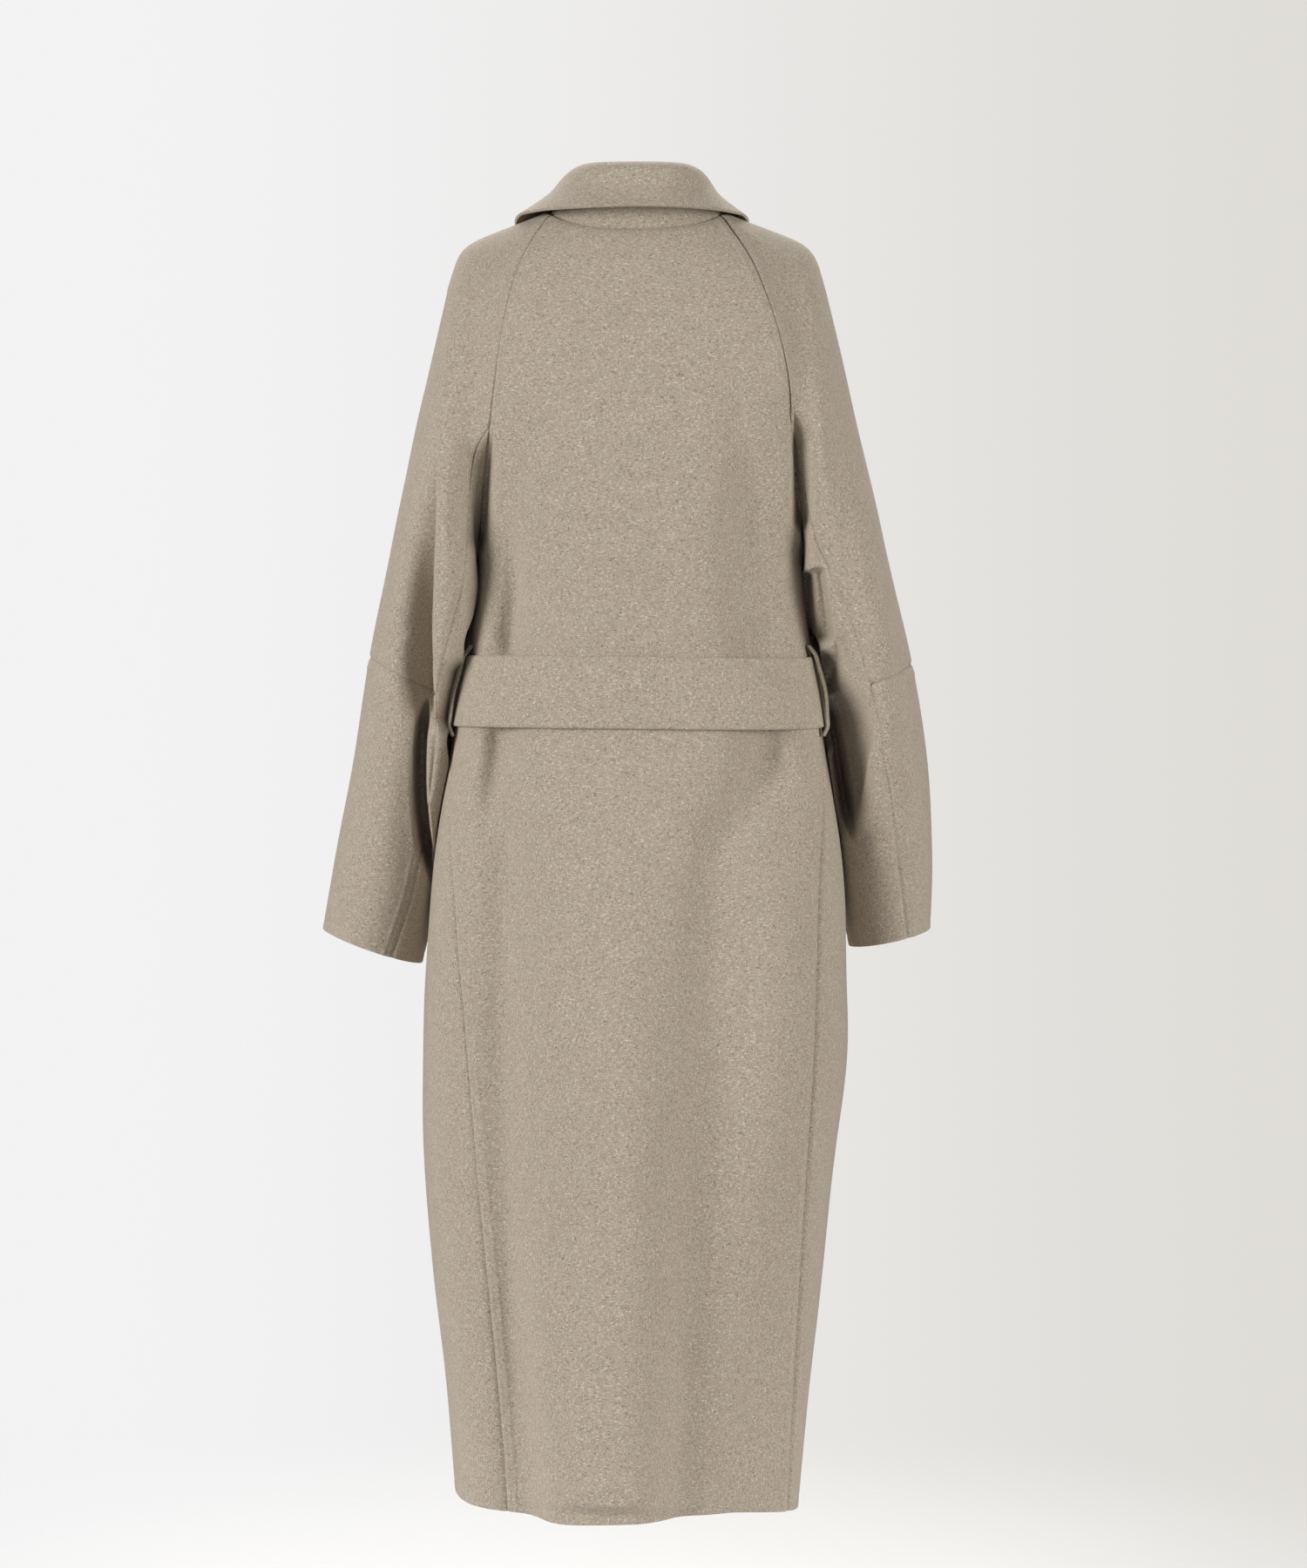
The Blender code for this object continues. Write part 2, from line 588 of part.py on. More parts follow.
def cloth_wall(name, collection, columns, rows, face, back):
    """A closed wall of cloth: a grid laid on face(column, row), extruded to back."""
    bm = bmesh.new()
    bmesh.ops.create_grid(bm, x_segments=columns, y_segments=rows, size=0.5)
    column_of = bm.verts.layers.int.new("column")
    row_of = bm.verts.layers.int.new("row")
    for vert in bm.verts:
        vert[column_of] = round((vert.co.x + 0.5) * columns)
        vert[row_of] = round((vert.co.y + 0.5) * rows)
    made = bmesh.ops.extrude_face_region(bm, geom=bm.faces[:], use_keep_orig=True)
    for vert in bm.verts:
        vert.co = face(vert[column_of], vert[row_of])
    for vert in made["geom"]:
        if isinstance(vert, bmesh.types.BMVert):
            vert.co = back(vert[column_of], vert[row_of])
    bm.verts.layers.int.remove(bm.verts.layers.int["column"])
    bm.verts.layers.int.remove(bm.verts.layers.int["row"])
    return add_object(name, bm, collection)


def walled(surface, outward, edges):
    """The two faces of a wall on a surface of (column, row) numbers, the second one
    inside the first. edges holds the seams, which the wall stops short of."""

    def trimmed(u, v):
        point = surface(u, v)
        for low, high, is_u in edges:
            for edge, way in ((low, 1), (high, -1)):
                if edge is not None and (u if is_u else v) == edge:
                    beside = surface(u + way * 0.05, v) if is_u else surface(u, v + way * 0.05)
                    point = point + (beside - point).normalized() * SEAM_GAP * 0.7
        return point

    def face(u, v):
        return trimmed(u, v)

    def back(u, v):
        return trimmed(u, v) - outward(u, v) * WALL

    return face, back


def body_outward(surface, u, v):
    """The normal of a body panel, away from the middle of the coat."""
    normal = away_from(surface, u, v)
    point = surface(u, v)
    return normal if normal.x * point.x + normal.y * point.y > 0 else -normal


def sleeve_outward(side, column, station):
    def surface(u, v):
        return sleeve_point(side, u % sleeve_columns(), max(0.0, v * 0.1))

    return away_from(surface, column, station / 0.1) * -side


def sleeve_columns():
    return len(BACK_YOKE) + len(FRONT_YOKE) - 2 + NECK_STRIP


def shared_outward(one, other):
    """The normal that two walls share at a seam, unless the seam lies in a deep valley."""
    return (one + other).normalized() if one.dot(other) > 0.3 else one


def build_back(collection):
    rows = SKIRT_ROWS + len(BACK_YOKE) - 1
    half = BACK_COLUMNS / 2

    def surface(column, row):
        return back_point((column - half) / half, row)

    def outward(column, row):
        normal = body_outward(surface, column, row)
        if row > SKIRT_ROWS and column in (0, BACK_COLUMNS):
            side = 1 if column else -1
            normal = shared_outward(normal, sleeve_outward(side, rows - row, 0.0))
        return normal

    seams = ((0, BACK_COLUMNS, True), (None, rows, False))
    face, back = walled(surface, outward, seams)
    return cloth_wall("back", collection, BACK_COLUMNS, rows, face, back)


def build_front(name, side, collection):
    rows = SKIRT_ROWS + len(FRONT_YOKE) - 1
    columns = FRONT_COLUMNS + LAP_COLUMNS

    def surface(column, row):
        if column <= FRONT_COLUMNS:
            return front_point(side, column / FRONT_COLUMNS, row)
        return front_point(side, 1 + (column - FRONT_COLUMNS) / LAP_COLUMNS, row)

    def outward(column, row):
        normal = body_outward(surface, column, row)
        if row > SKIRT_ROWS and column == 0:
            loop_column = len(BACK_YOKE) - 1 + row - SKIRT_ROWS
            normal = shared_outward(normal, sleeve_outward(side, loop_column, 0.0))
        return normal

    seams = ((0, None, True), (None, rows, False))
    face, back = walled(surface, outward, seams)
    return cloth_wall(name, collection, columns, rows, face, back)


def build_sleeve(ending, side, collection):
    """A sleeve's three pieces: over the shoulder to the elbow seam, below it, and the
    under sleeve between the back seam and the underarm seam."""
    back_rows, front_rows = len(BACK_YOKE) - 1, len(FRONT_YOKE) - 1
    seam_column = back_rows - SEAM_ROW
    around = sleeve_columns()
    back_top = SKIRT_ROWS + back_rows

    def back_surface(column, row):
        return back_point(2 * column / BACK_COLUMNS - 1, row)

    def front_surface(column, row):
        return front_point(side, column / FRONT_COLUMNS, row)

    def piece(name, first, count, stations):
        def station_of(row):
            step = min(max(int(row), 0), len(stations) - 2)
            return max(0.0, blend(row - step, stations[step], stations[step + 1]))

        def surface(column, row):
            return sleeve_point(side, (first + column) % around, station_of(row))

        def outward(column, row):
            wrapped = (first + column) % around
            normal = sleeve_outward(side, wrapped, station_of(row))
            if row == 0 and stations[0] == 0.0:
                if 0 <= wrapped < back_rows:
                    beside = body_outward(back_surface, BACK_COLUMNS * (side + 1) / 2, back_top - wrapped)
                    return shared_outward(normal, beside)
                if back_rows < wrapped <= back_rows + front_rows:
                    beside = body_outward(front_surface, 0, SKIRT_ROWS + wrapped - back_rows)
                    return shared_outward(normal, beside)
            return normal

        rows = len(stations) - 1
        low = 0 if stations[0] in (0.0, ELBOW) else None
        high = rows if stations[-1] == ELBOW else None
        face, back = walled(surface, outward, ((0, count, True), (low, high, False)))
        return cloth_wall(name + ending, collection, count, rows, face, back)

    over = around - SEAM_ROW
    return [
        piece("sleeve_upper", back_rows, over, UPPER_STATIONS),
        piece("sleeve_lower", back_rows, over, LOWER_STATIONS),
        piece("sleeve_under", seam_column, SEAM_ROW, UPPER_STATIONS + LOWER_STATIONS[1:]),
    ]


def build_collar(collection):
    stops = (0.0, 0.18, 0.34, 0.46, 0.54, 0.63, 0.75, 0.87, 1.0)
    meet = 0.994             # the two ends stop just short of centre front
    back, strip, front = BACK_COLUMNS // 4, NECK_STRIP, FRONT_COLUMNS // 2
    half = [NECK_BACK_SHARE * i / back for i in range(back)]
    half += [blend(i / strip, NECK_BACK_SHARE, NECK_FRONT_SHARE) for i in range(strip)]
    half += [blend(i / front, NECK_FRONT_SHARE, 1.0) for i in range(front)] + [meet]
    shares = [-share for share in half[:0:-1]] + half
    columns, rows = len(shares) - 1, len(stops) - 1

    def place(values, at):
        step = min(max(int(at), 0), len(values) - 2)
        return blend(at - step, values[step], values[step + 1])

    def surface(column, row):
        return collar_point(place(shares, column), place(stops, row))

    def inside(column, row):
        return surface(column, row) - away_from(surface, column, row) * WALL

    return cloth_wall("collar", collection, columns, rows, surface, inside)


def build_belt(collection):
    columns, rows = 52, 2
    reach = 2 - turn_at(KNOT_HALF.x + SEAM_GAP * 2, BELT_LEVEL)

    def layer(out):
        return lambda column, row: belt_point(reach * (2 * column / columns - 1), row - 1, out)

    return cloth_wall("belt", collection, columns, rows, layer(BELT_WALL), layer(0.0))


def build_loop(name, side, collection):
    rows = len(LOOP_ROWS) - 1

    def face(column, row):
        return loop_point(side, row, column - 1)

    def back(column, row):
        outward = body_point(loop_turn(side, 0.0), BELT_LEVEL, folds=False)
        outward.z = 0.0
        return face(column, row) - outward.normalized() * LOOP_WALL

    return cloth_wall(name, collection, 2, rows, face, back)


def build_belt_end(name, end, collection):
    rows = 12

    def face(column, row):
        return belt_end_point(end, column / 2 - 1, row / rows)

    def back(column, row):
        return face(column, row) + Vector((0.0, BELT_WALL, 0.0))

    return cloth_wall(name, collection, 4, rows, face, back)


def build_knot(collection):
    """The belt's wrap, a soft block standing on the front at centre front."""
    bm = bmesh.new()
    bmesh.ops.create_cube(bm, size=2.0)
    face = body_point(2.0, BELT_LEVEL, folds=False)
    for vert in bm.verts:
        vert.co = Vector((vert.co.x * KNOT_HALF.x, vert.co.y * KNOT_HALF.y, vert.co.z * KNOT_HALF.z))
    bmesh.ops.bevel(bm, geom=bm.edges[:], offset=0.010, segments=3, profile=0.5, affect="EDGES", material=-1)
    bmesh.ops.translate(bm, verts=bm.verts, vec=face + Vector((0.0, -KNOT_HALF.y - 0.001, 0.0)))
    return add_object("belt_knot", bm, collection)


def main():
    for old in list(bpy.data.objects):
        bpy.data.objects.remove(old)
    collection = bpy.data.collections.new("long_coat")
    bpy.context.scene.collection.children.link(collection)
    build_back(collection)
    build_front("front_left", 1, collection)
    build_front("front_right", -1, collection)
    build_sleeve("_left", 1, collection)
    build_sleeve("_right", -1, collection)
    build_collar(collection)
    build_belt(collection)
    build_loop("belt_loop_left", 1, collection)
    build_loop("belt_loop_right", -1, collection)
    build_knot(collection)
    for name, end in BELT_ENDS.items():
        build_belt_end(name, end, collection)


main()
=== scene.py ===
import math

import bmesh
import bpy
import numpy as np
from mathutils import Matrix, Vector


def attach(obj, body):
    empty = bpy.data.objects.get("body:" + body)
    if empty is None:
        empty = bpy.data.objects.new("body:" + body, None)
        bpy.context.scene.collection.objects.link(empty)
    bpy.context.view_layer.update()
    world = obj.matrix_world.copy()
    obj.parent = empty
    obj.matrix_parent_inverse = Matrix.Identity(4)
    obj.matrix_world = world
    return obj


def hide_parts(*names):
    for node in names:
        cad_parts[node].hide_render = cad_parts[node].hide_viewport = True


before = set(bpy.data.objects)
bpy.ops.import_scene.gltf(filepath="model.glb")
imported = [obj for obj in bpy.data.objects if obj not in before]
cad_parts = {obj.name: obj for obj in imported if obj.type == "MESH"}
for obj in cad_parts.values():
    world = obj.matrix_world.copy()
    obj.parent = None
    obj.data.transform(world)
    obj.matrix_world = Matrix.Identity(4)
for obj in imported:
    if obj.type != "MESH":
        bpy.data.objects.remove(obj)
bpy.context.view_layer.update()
print("frame loaded,", len(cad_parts), "solids")


def mix(amount, start, end):
    return start + (end - start) * amount


def ease(value, low, high):  # 0 below low, 1 above high, smooth between
    share = np.clip((value - low) / (high - low), 0.0, 1.0)
    return share * share * (3 - 2 * share)


def table(columns, rows):  # named columns, a row for each section or fold
    return dict(zip(columns.split(), np.array(rows, float).T))


def rowsOf(form):  # the same table, row by row
    return [dict(zip(form, row)) for row in zip(*form.values())]


def curveThrough(knots, values, at):  # smooth through values at rising knots
    knots, values, at = np.asarray(knots, float), np.asarray(values, float), np.asarray(at, float)
    last = len(knots) - 1
    before = np.maximum(np.arange(last + 1) - 1, 0)
    after = np.minimum(np.arange(last + 1) + 1, last)
    more = (1,) * (values.ndim - 1)
    slope = (values[after] - values[before]) / (knots[after] - knots[before]).reshape(-1, *more)
    span = np.clip(np.searchsorted(knots, at) - 1, 0, last - 1)
    width = (knots[span + 1] - knots[span]).reshape(*at.shape, *more)
    t = (at - knots[span]).reshape(*at.shape, *more) / width
    return (
        values[span] * (2 * t**3 - 3 * t**2 + 1)
        + slope[span] * width * (t**3 - 2 * t**2 + t)
        + values[span + 1] * (3 * t**2 - 2 * t**3)
        + slope[span + 1] * width * (t**3 - t**2)
    )


def lookUp(form, key, column, at):
    order = np.argsort(form[key])
    knots = form[key][order]
    return curveThrough(knots, form[column][order], np.clip(at, knots[0], knots[-1]))


def unit(vectors):
    return vectors / np.maximum(np.linalg.norm(vectors, axis=-1, keepdims=True), 1e-12)


def crowded(count, ends=0.5):  # 0 to 1 in steps that get closer at both ends
    t = np.linspace(0.0, 1.0, count)
    return t - ends * np.sin(2 * np.pi * t) / (2 * np.pi)


# the cut, as the solids have it but for its seams, which are moved a little
coat = {
    "drop": 1.194,
    "underarm": -0.320,
    "neckDip": 0.016,
    "frontCorner": -0.022,
    "frontNeck": -0.075,
    "wall": 0.0026,
    "lap": 0.065,
    "neckLap": 0.035,
    "lapGap": 0.0014,
    "lapDrop": 0.003,
    "lapDropRun": (0.1, 0.4),
    "lapTurn": -0.22,
    "underRun": (0.050, 0.012),
    "dipFrom": -0.2,
    "hemRise": 0.004,
    "hemFall": 0.014,
    "hemPower": 5,
    "skirtRows": 24,
    "seamRow": 5,
    "neckStrip": 4,
    "neckAngle": 36,
    "shoulderNeck": (0.0845, -0.006, 0.003),
    "backYoke": (-0.320, -0.314, -0.297, -0.268, -0.235, -0.200, -0.160, -0.120, -0.080, -0.040, 0.0),
    "frontYoke": (-0.320, -0.314, -0.298, -0.268, -0.232, -0.190, -0.148, -0.105, -0.062, -0.022),
}
backRows, frontRows = len(coat["backYoke"]) - 1, len(coat["frontYoke"]) - 1
around = backRows + frontRows + coat["neckStrip"]

bodySections = table("z half shift back front power seamLeft seamRight", [
    (0.010, 0.094, 0.000, 0.056, 0.050, 2.4, 1.00, 1.00),
    (-0.022, 0.130, 0.000, 0.076, 0.068, 2.4, 1.00, 1.00),
    (-0.055, 0.178, -0.001, 0.091, 0.088, 2.6, 1.00, 1.00),
    (-0.107, 0.205, -0.004, 0.107, 0.108, 2.8, 1.00, 1.00),
    (-0.165, 0.204, -0.006, 0.113, 0.126, 2.8, 1.00, 1.00),
    (-0.225, 0.188, -0.006, 0.113, 0.131, 2.7, 1.00, 1.00),
    (-0.275, 0.168, -0.005, 0.111, 0.129, 2.6, 1.00, 1.00),
    (-0.320, 0.153, -0.004, 0.109, 0.125, 2.5, 1.00, 1.00),
    (-0.410, 0.161, -0.003, 0.103, 0.115, 2.5, 0.93, 0.90),
    (-0.490, 0.174, -0.002, 0.107, 0.117, 2.5, 0.86, 0.82),
    (-0.600, 0.191, -0.002, 0.125, 0.128, 2.4, 0.68, 0.645),
    (-0.720, 0.198, 0.000, 0.138, 0.135, 2.4, 0.58, 0.59),
    (-0.790, 0.199, 0.001, 0.143, 0.138, 2.4, 0.545, 0.58),
    (-0.870, 0.194, 0.006, 0.146, 0.140, 2.4, 0.51, 0.615),
    (-0.985, 0.183, 0.0075, 0.147, 0.138, 2.4, 0.497, 0.663),
    (-1.100, 0.170, 0.0075, 0.146, 0.134, 2.4, 0.505, 0.715),
    (-1.215, 0.160, 0.0085, 0.145, 0.130, 2.4, 0.50, 0.755),
])
backRaglan = table("z across", [
    (0.000, 0.0800), (-0.026, 0.0975), (-0.053, 0.1110), (-0.107, 0.1270),
    (-0.161, 0.1360), (-0.215, 0.1425), (-0.270, 0.1480), (-0.320, 0.1530),
])
frontRaglan = table("z across", [
    (-0.022, 0.0760), (-0.050, 0.0920), (-0.090, 0.1080), (-0.140, 0.1220),
    (-0.190, 0.1310), (-0.240, 0.1400), (-0.285, 0.1480), (-0.320, 0.1530),
])

# large folds of the body, in quarter turns from centre back
bodyFolds = table("topZ topTurn bottomZ bottomTurn width depth fade", [
    (-0.25, 0.56, -0.58, 0.46, 0.075, -0.011, 0.10),
    (-0.48, 0.51, -1.30, 0.36, 0.130, -0.011, 0.12),
    (-0.56, 0.30, -1.30, 0.235, 0.120, 0.007, 0.20),
    (-0.88, 0.46, -1.30, 0.46, 0.150, -0.012, 0.30),
    (-0.14, -0.40, -0.66, -0.48, 0.110, -0.011, 0.12),
    (-0.50, -0.28, -1.30, -0.22, 0.130, -0.021, 0.15),
    (-0.72, -0.46, -1.45, -0.48, 0.200, -0.030, 0.55),
    (-0.26, 1.42, -0.60, 1.50, 0.090, -0.010, 0.10),
    (-0.50, 1.36, -1.30, 1.30, 0.130, -0.011, 0.20),
    (-0.28, -1.40, -0.62, -1.46, 0.090, -0.011, 0.10),
    (-0.52, -1.30, -1.30, -1.34, 0.130, -0.012, 0.20),
])


def bodySize(z, column):
    return lookUp(bodySections, "z", column, z)


def bodyMoved(turn, z):  # how far the large folds move the body out
    moved = np.zeros_like(turn)
    for fold in rowsOf(bodyFolds):
        share = (z - fold["topZ"]) / (fold["bottomZ"] - fold["topZ"])
        offset = (turn - mix(share, fold["topTurn"], fold["bottomTurn"])) / fold["width"]
        ends = ease(fold["topZ"] - z, 0, fold["fade"])
        if fold["bottomZ"] > -coat["drop"]:
            ends = ends * ease(z - fold["bottomZ"], 0, fold["fade"])
        moved += fold["depth"] * ends * np.exp(-offset * offset)
    return moved


def bodyPoint(turn, z, out=0.0, folds=True):
    across, along = np.sin(turn * np.pi / 2), np.cos(turn * np.pi / 2)
    power = bodySize(z, "power")
    reach = (np.abs(across) ** power + np.abs(along) ** power) ** (-1 / power)
    depth = np.where(along > 0, bodySize(z, "back"), bodySize(z, "front"))
    flat = np.stack([bodySize(z, "half") * across * reach, depth * along * reach, np.zeros_like(z)], -1)
    if folds:
        out = out + bodyMoved(turn, z)
    flat = flat + unit(flat) * np.broadcast_to(out, z.shape)[..., None]
    return flat + np.stack([bodySize(z, "shift"), np.zeros_like(z), z], -1)


def turnAt(across, z):
    share = np.minimum(1.0, across / bodySize(z, "half"))
    power = bodySize(z, "power")
    return np.arctan2(share, (1 - share**power) ** (1 / power)) / (np.pi / 2)


def sideSeam(z, side):
    return np.where(side > 0, bodySize(z, "seamLeft"), bodySize(z, "seamRight"))


def skirtLevel(row, turn):
    share = 1 - row / coat["skirtRows"]
    tilt = np.sin(turn * np.pi / 2) ** coat["hemPower"]
    tilt = tilt * np.where(tilt > 0, coat["hemRise"], coat["hemFall"])
    return coat["underarm"] - share * (coat["drop"] + coat["underarm"]) + tilt * share * share


def levelOf(yoke, row):
    below = coat["underarm"] - (1 - row / coat["skirtRows"]) * (coat["drop"] + coat["underarm"])
    above = curveThrough(np.arange(len(yoke)), yoke, np.clip(row - coat["skirtRows"], 0, len(yoke) - 1))
    return np.where(row <= coat["skirtRows"], below, above)


def necked(level, top, sideTop):  # a yoke row's level where the neck seam dips
    base = coat["dipFrom"]
    return np.where(level <= base, level, base + (level - base) * (top - base) / (sideTop - base))


def backPlace(across, row):  # across -1 to 1, rows from the hem up, as turn and level
    level = levelOf(coat["backYoke"], row)
    below = row <= coat["skirtRows"]
    edge = turnAt(lookUp(backRaglan, "z", "across", level), level)
    even = mix(ease(level, coat["underarm"], coat["backYoke"][coat["seamRow"]]), 1.0, edge)
    turn = np.where(below, across * sideSeam(level, across), across * (even + (edge - even) * across**2))
    neck = -coat["neckDip"] * (1 - across**2)
    return turn, np.where(below, skirtLevel(row, turn), necked(level, neck, 0.0))


def frontPlace(side, across, row):  # across 0 at the side, 1 at centre front, 2 at the edge
    level = levelOf(coat["frontYoke"], row)
    below = row <= coat["skirtRows"]
    reach = np.minimum(across, 1.0)
    raglan = 2 - turnAt(lookUp(frontRaglan, "z", "across", level), level)
    edge = np.where(below, sideSeam(level, np.full_like(level, side)), raglan)
    even = mix(ease(level, coat["underarm"], coat["backYoke"][coat["seamRow"]]), 1.0, edge)
    even = np.where(below, edge, even)
    turn = mix(reach, even, 2.0) + (edge - even) * (1 - reach) ** 2
    lap = mix(ease(level, coat["lapTurn"], coat["frontCorner"]), coat["lap"], coat["neckLap"])
    turn = (turn + np.maximum(across - 1, 0) * turnAt(lap, level)) * side
    neck = mix(np.sin(reach * np.pi / 2), coat["frontCorner"], coat["frontNeck"])
    if side > 0:
        neck = neck - coat["lapDrop"] * ease(reach, *coat["lapDropRun"])
    return turn, np.where(below, skirtLevel(row, turn), necked(level, neck, coat["frontCorner"]))


def backCloth(across, row):
    return bodyPoint(*backPlace(across, row))


def frontCloth(side, across, row):
    turn, z = frontPlace(side, across, row)
    points = bodyPoint(turn, z)
    if side > 0:
        start, full = (-(coat["lap"] + past) for past in coat["underRun"])
        under = ease(-points[..., 0], start, full)
        points = bodyPoint(turn, z, -under * (coat["wall"] + coat["lapGap"]))
    return points


# sleeves: rings along the arm, and folds by angle from the outer side round by the back
sleeveColumns = "station outerX outerZ innerX innerZ back front mid seam"
sleeveRings = {
    1: table(sleeveColumns, [
        (0.062, 0.148, -0.0205, 0.1490, -0.333, 0.091, 0.092, 0.000, 108),
        (0.082, 0.164, -0.032, 0.1480, -0.338, 0.090, 0.091, 0.000, 116),
        (0.102, 0.172, -0.050, 0.1465, -0.342, 0.091, 0.089, -0.001, 119),
        (0.150, 0.184, -0.098, 0.1445, -0.352, 0.093, 0.086, -0.004, 120),
        (0.245, 0.206, -0.190, 0.1415, -0.372, 0.095, 0.078, -0.012, 120),
        (0.358, 0.229, -0.300, 0.1450, -0.408, 0.090, 0.072, -0.017, 116),
        (0.475, 0.252, -0.414, 0.1560, -0.460, 0.081, 0.067, -0.022, 116),
        (0.572, 0.268, -0.510, 0.1700, -0.544, 0.072, 0.064, -0.031, 123),
        (0.667, 0.286, -0.603, 0.1860, -0.628, 0.063, 0.061, -0.043, 126),
        (0.738, 0.299, -0.673, 0.2035, -0.706, 0.055, 0.058, -0.052, 116),
    ]),
    -1: table(sleeveColumns, [
        (0.062, 0.147, -0.0205, 0.1570, -0.333, 0.091, 0.092, 0.000, 118),
        (0.082, 0.164, -0.032, 0.1560, -0.338, 0.090, 0.091, 0.000, 124),
        (0.102, 0.173, -0.050, 0.1550, -0.342, 0.091, 0.089, -0.001, 124),
        (0.150, 0.186, -0.098, 0.1530, -0.352, 0.094, 0.086, -0.004, 120),
        (0.245, 0.207, -0.190, 0.1500, -0.372, 0.096, 0.078, -0.012, 110),
        (0.358, 0.233, -0.300, 0.1520, -0.408, 0.091, 0.072, -0.017, 92),
        (0.475, 0.261, -0.420, 0.1610, -0.460, 0.082, 0.067, -0.023, 84),
        (0.572, 0.276, -0.510, 0.1750, -0.540, 0.074, 0.064, -0.033, 80),
        (0.667, 0.282, -0.603, 0.1900, -0.622, 0.065, 0.061, -0.045, 77),
        (0.738, 0.281, -0.673, 0.2030, -0.690, 0.057, 0.058, -0.054, 69),
    ]),
}
foldColumns = "top topAngle bottom bottomAngle outer inner depth fade"
sleeveFolds = {
    1: table(foldColumns, [
        (0.24, 70, 0.70, 114, 24, 20, -0.011, 0.14),
        (0.14, 100, 0.66, 144, 22, 26, 0.010, 0.16),
        (0.30, 250, 0.70, 256, 24, 24, -0.010, 0.14),
    ]),
    -1: table(foldColumns, [
        (0.30, 140, 0.66, 114, 26, 26, -0.016, 0.12),
        (0.20, 36, 0.66, 90, 26, 22, 0.009, 0.16),
        (0.30, 252, 0.70, 256, 24, 24, -0.010, 0.14),
    ]),
}
sleeveFit = {
    "cuff": 0.738,
    "elbow": 0.475,
    "clear": 0.0006,
    "clearRun": 0.05,
    "softness": 0.002,
    "softRun": 0.1,
    "foldWay": (1, 1, 0.3),
    "beltLevel": -0.444,
    "beltHalf": 0.042,
    "beltOut": 0.0055,
    "beltFade": 0.03,
    "loopOut": 0.0034,
    "loopRun": (-0.010, 0.005),
    "hollowRun": (-0.005, 0.045),
    "hollows": {
        1: {"size": 0.010, "start": 0.337, "full": 0.400, "fall": 0.385, "end": 0.425},
        -1: {"size": 0.004, "start": 0.322, "full": 0.345, "fall": 0.380, "end": 0.430},
    },
}


def raglanLoop(side, column):  # the seam line that a sleeve starts from, by columns
    top = coat["skirtRows"]
    corner = np.array(coat["shoulderNeck"]) * (side, 1, 1)
    one = np.ones(1)
    frontEnd = frontCloth(side, 0 * one, (top + frontRows) * one)[0]
    backEnd = backCloth(side * one, (top + backRows) * one)[0]
    share = (column - backRows - frontRows) / coat["neckStrip"]
    strip = curveThrough((0, 0.5, 1), np.stack([frontEnd, corner, backEnd]), np.clip(share, 0, 1))
    past = np.where(column > around, column - around, column)
    back = backCloth(np.full_like(column, side), top + backRows - np.clip(past, 0, backRows))
    front = frontCloth(side, np.zeros_like(column), top + np.clip(column - backRows, 0, frontRows))
    isBack = (column <= backRows) | (column >= around)
    isFront = (column > backRows) & (column <= backRows + frontRows)
    return np.where(isBack[:, None], back, np.where(isFront[:, None], front, strip))


def columnAngle(column, seam):  # angle round the ring, a row for each seam angle
    start = backRows - coat["seamRow"]
    if column[0] < backRows:
        return seam[:, None] + (180 - seam[:, None]) * ((column - start) / coat["seamRow"])[None, :]
    knots = (backRows, backRows + frontRows, around, around + start)
    neck = np.full_like(seam, coat["neckAngle"])
    values = np.stack([np.full_like(seam, 180), 360 - neck, 360 + neck, 360 + seam])
    return curveThrough(knots, values, column).T


def bodyReach(y, z):  # half width of the body with its belt
    depth = np.where(y > 0, bodySize(z, "back"), bodySize(z, "front"))
    power = bodySize(z, "power")
    reach = bodySize(z, "half") * (1 - np.minimum(1.0, np.abs(y) / depth) ** power) ** (1 / power)
    past = np.abs(z - sleeveFit["beltLevel"]) - sleeveFit["beltHalf"]
    band = 1 - ease(past, 0.0, sleeveFit["beltFade"])
    return reach + band * (sleeveFit["beltOut"] + sleeveFit["loopOut"] * ease(y, *sleeveFit["loopRun"]))


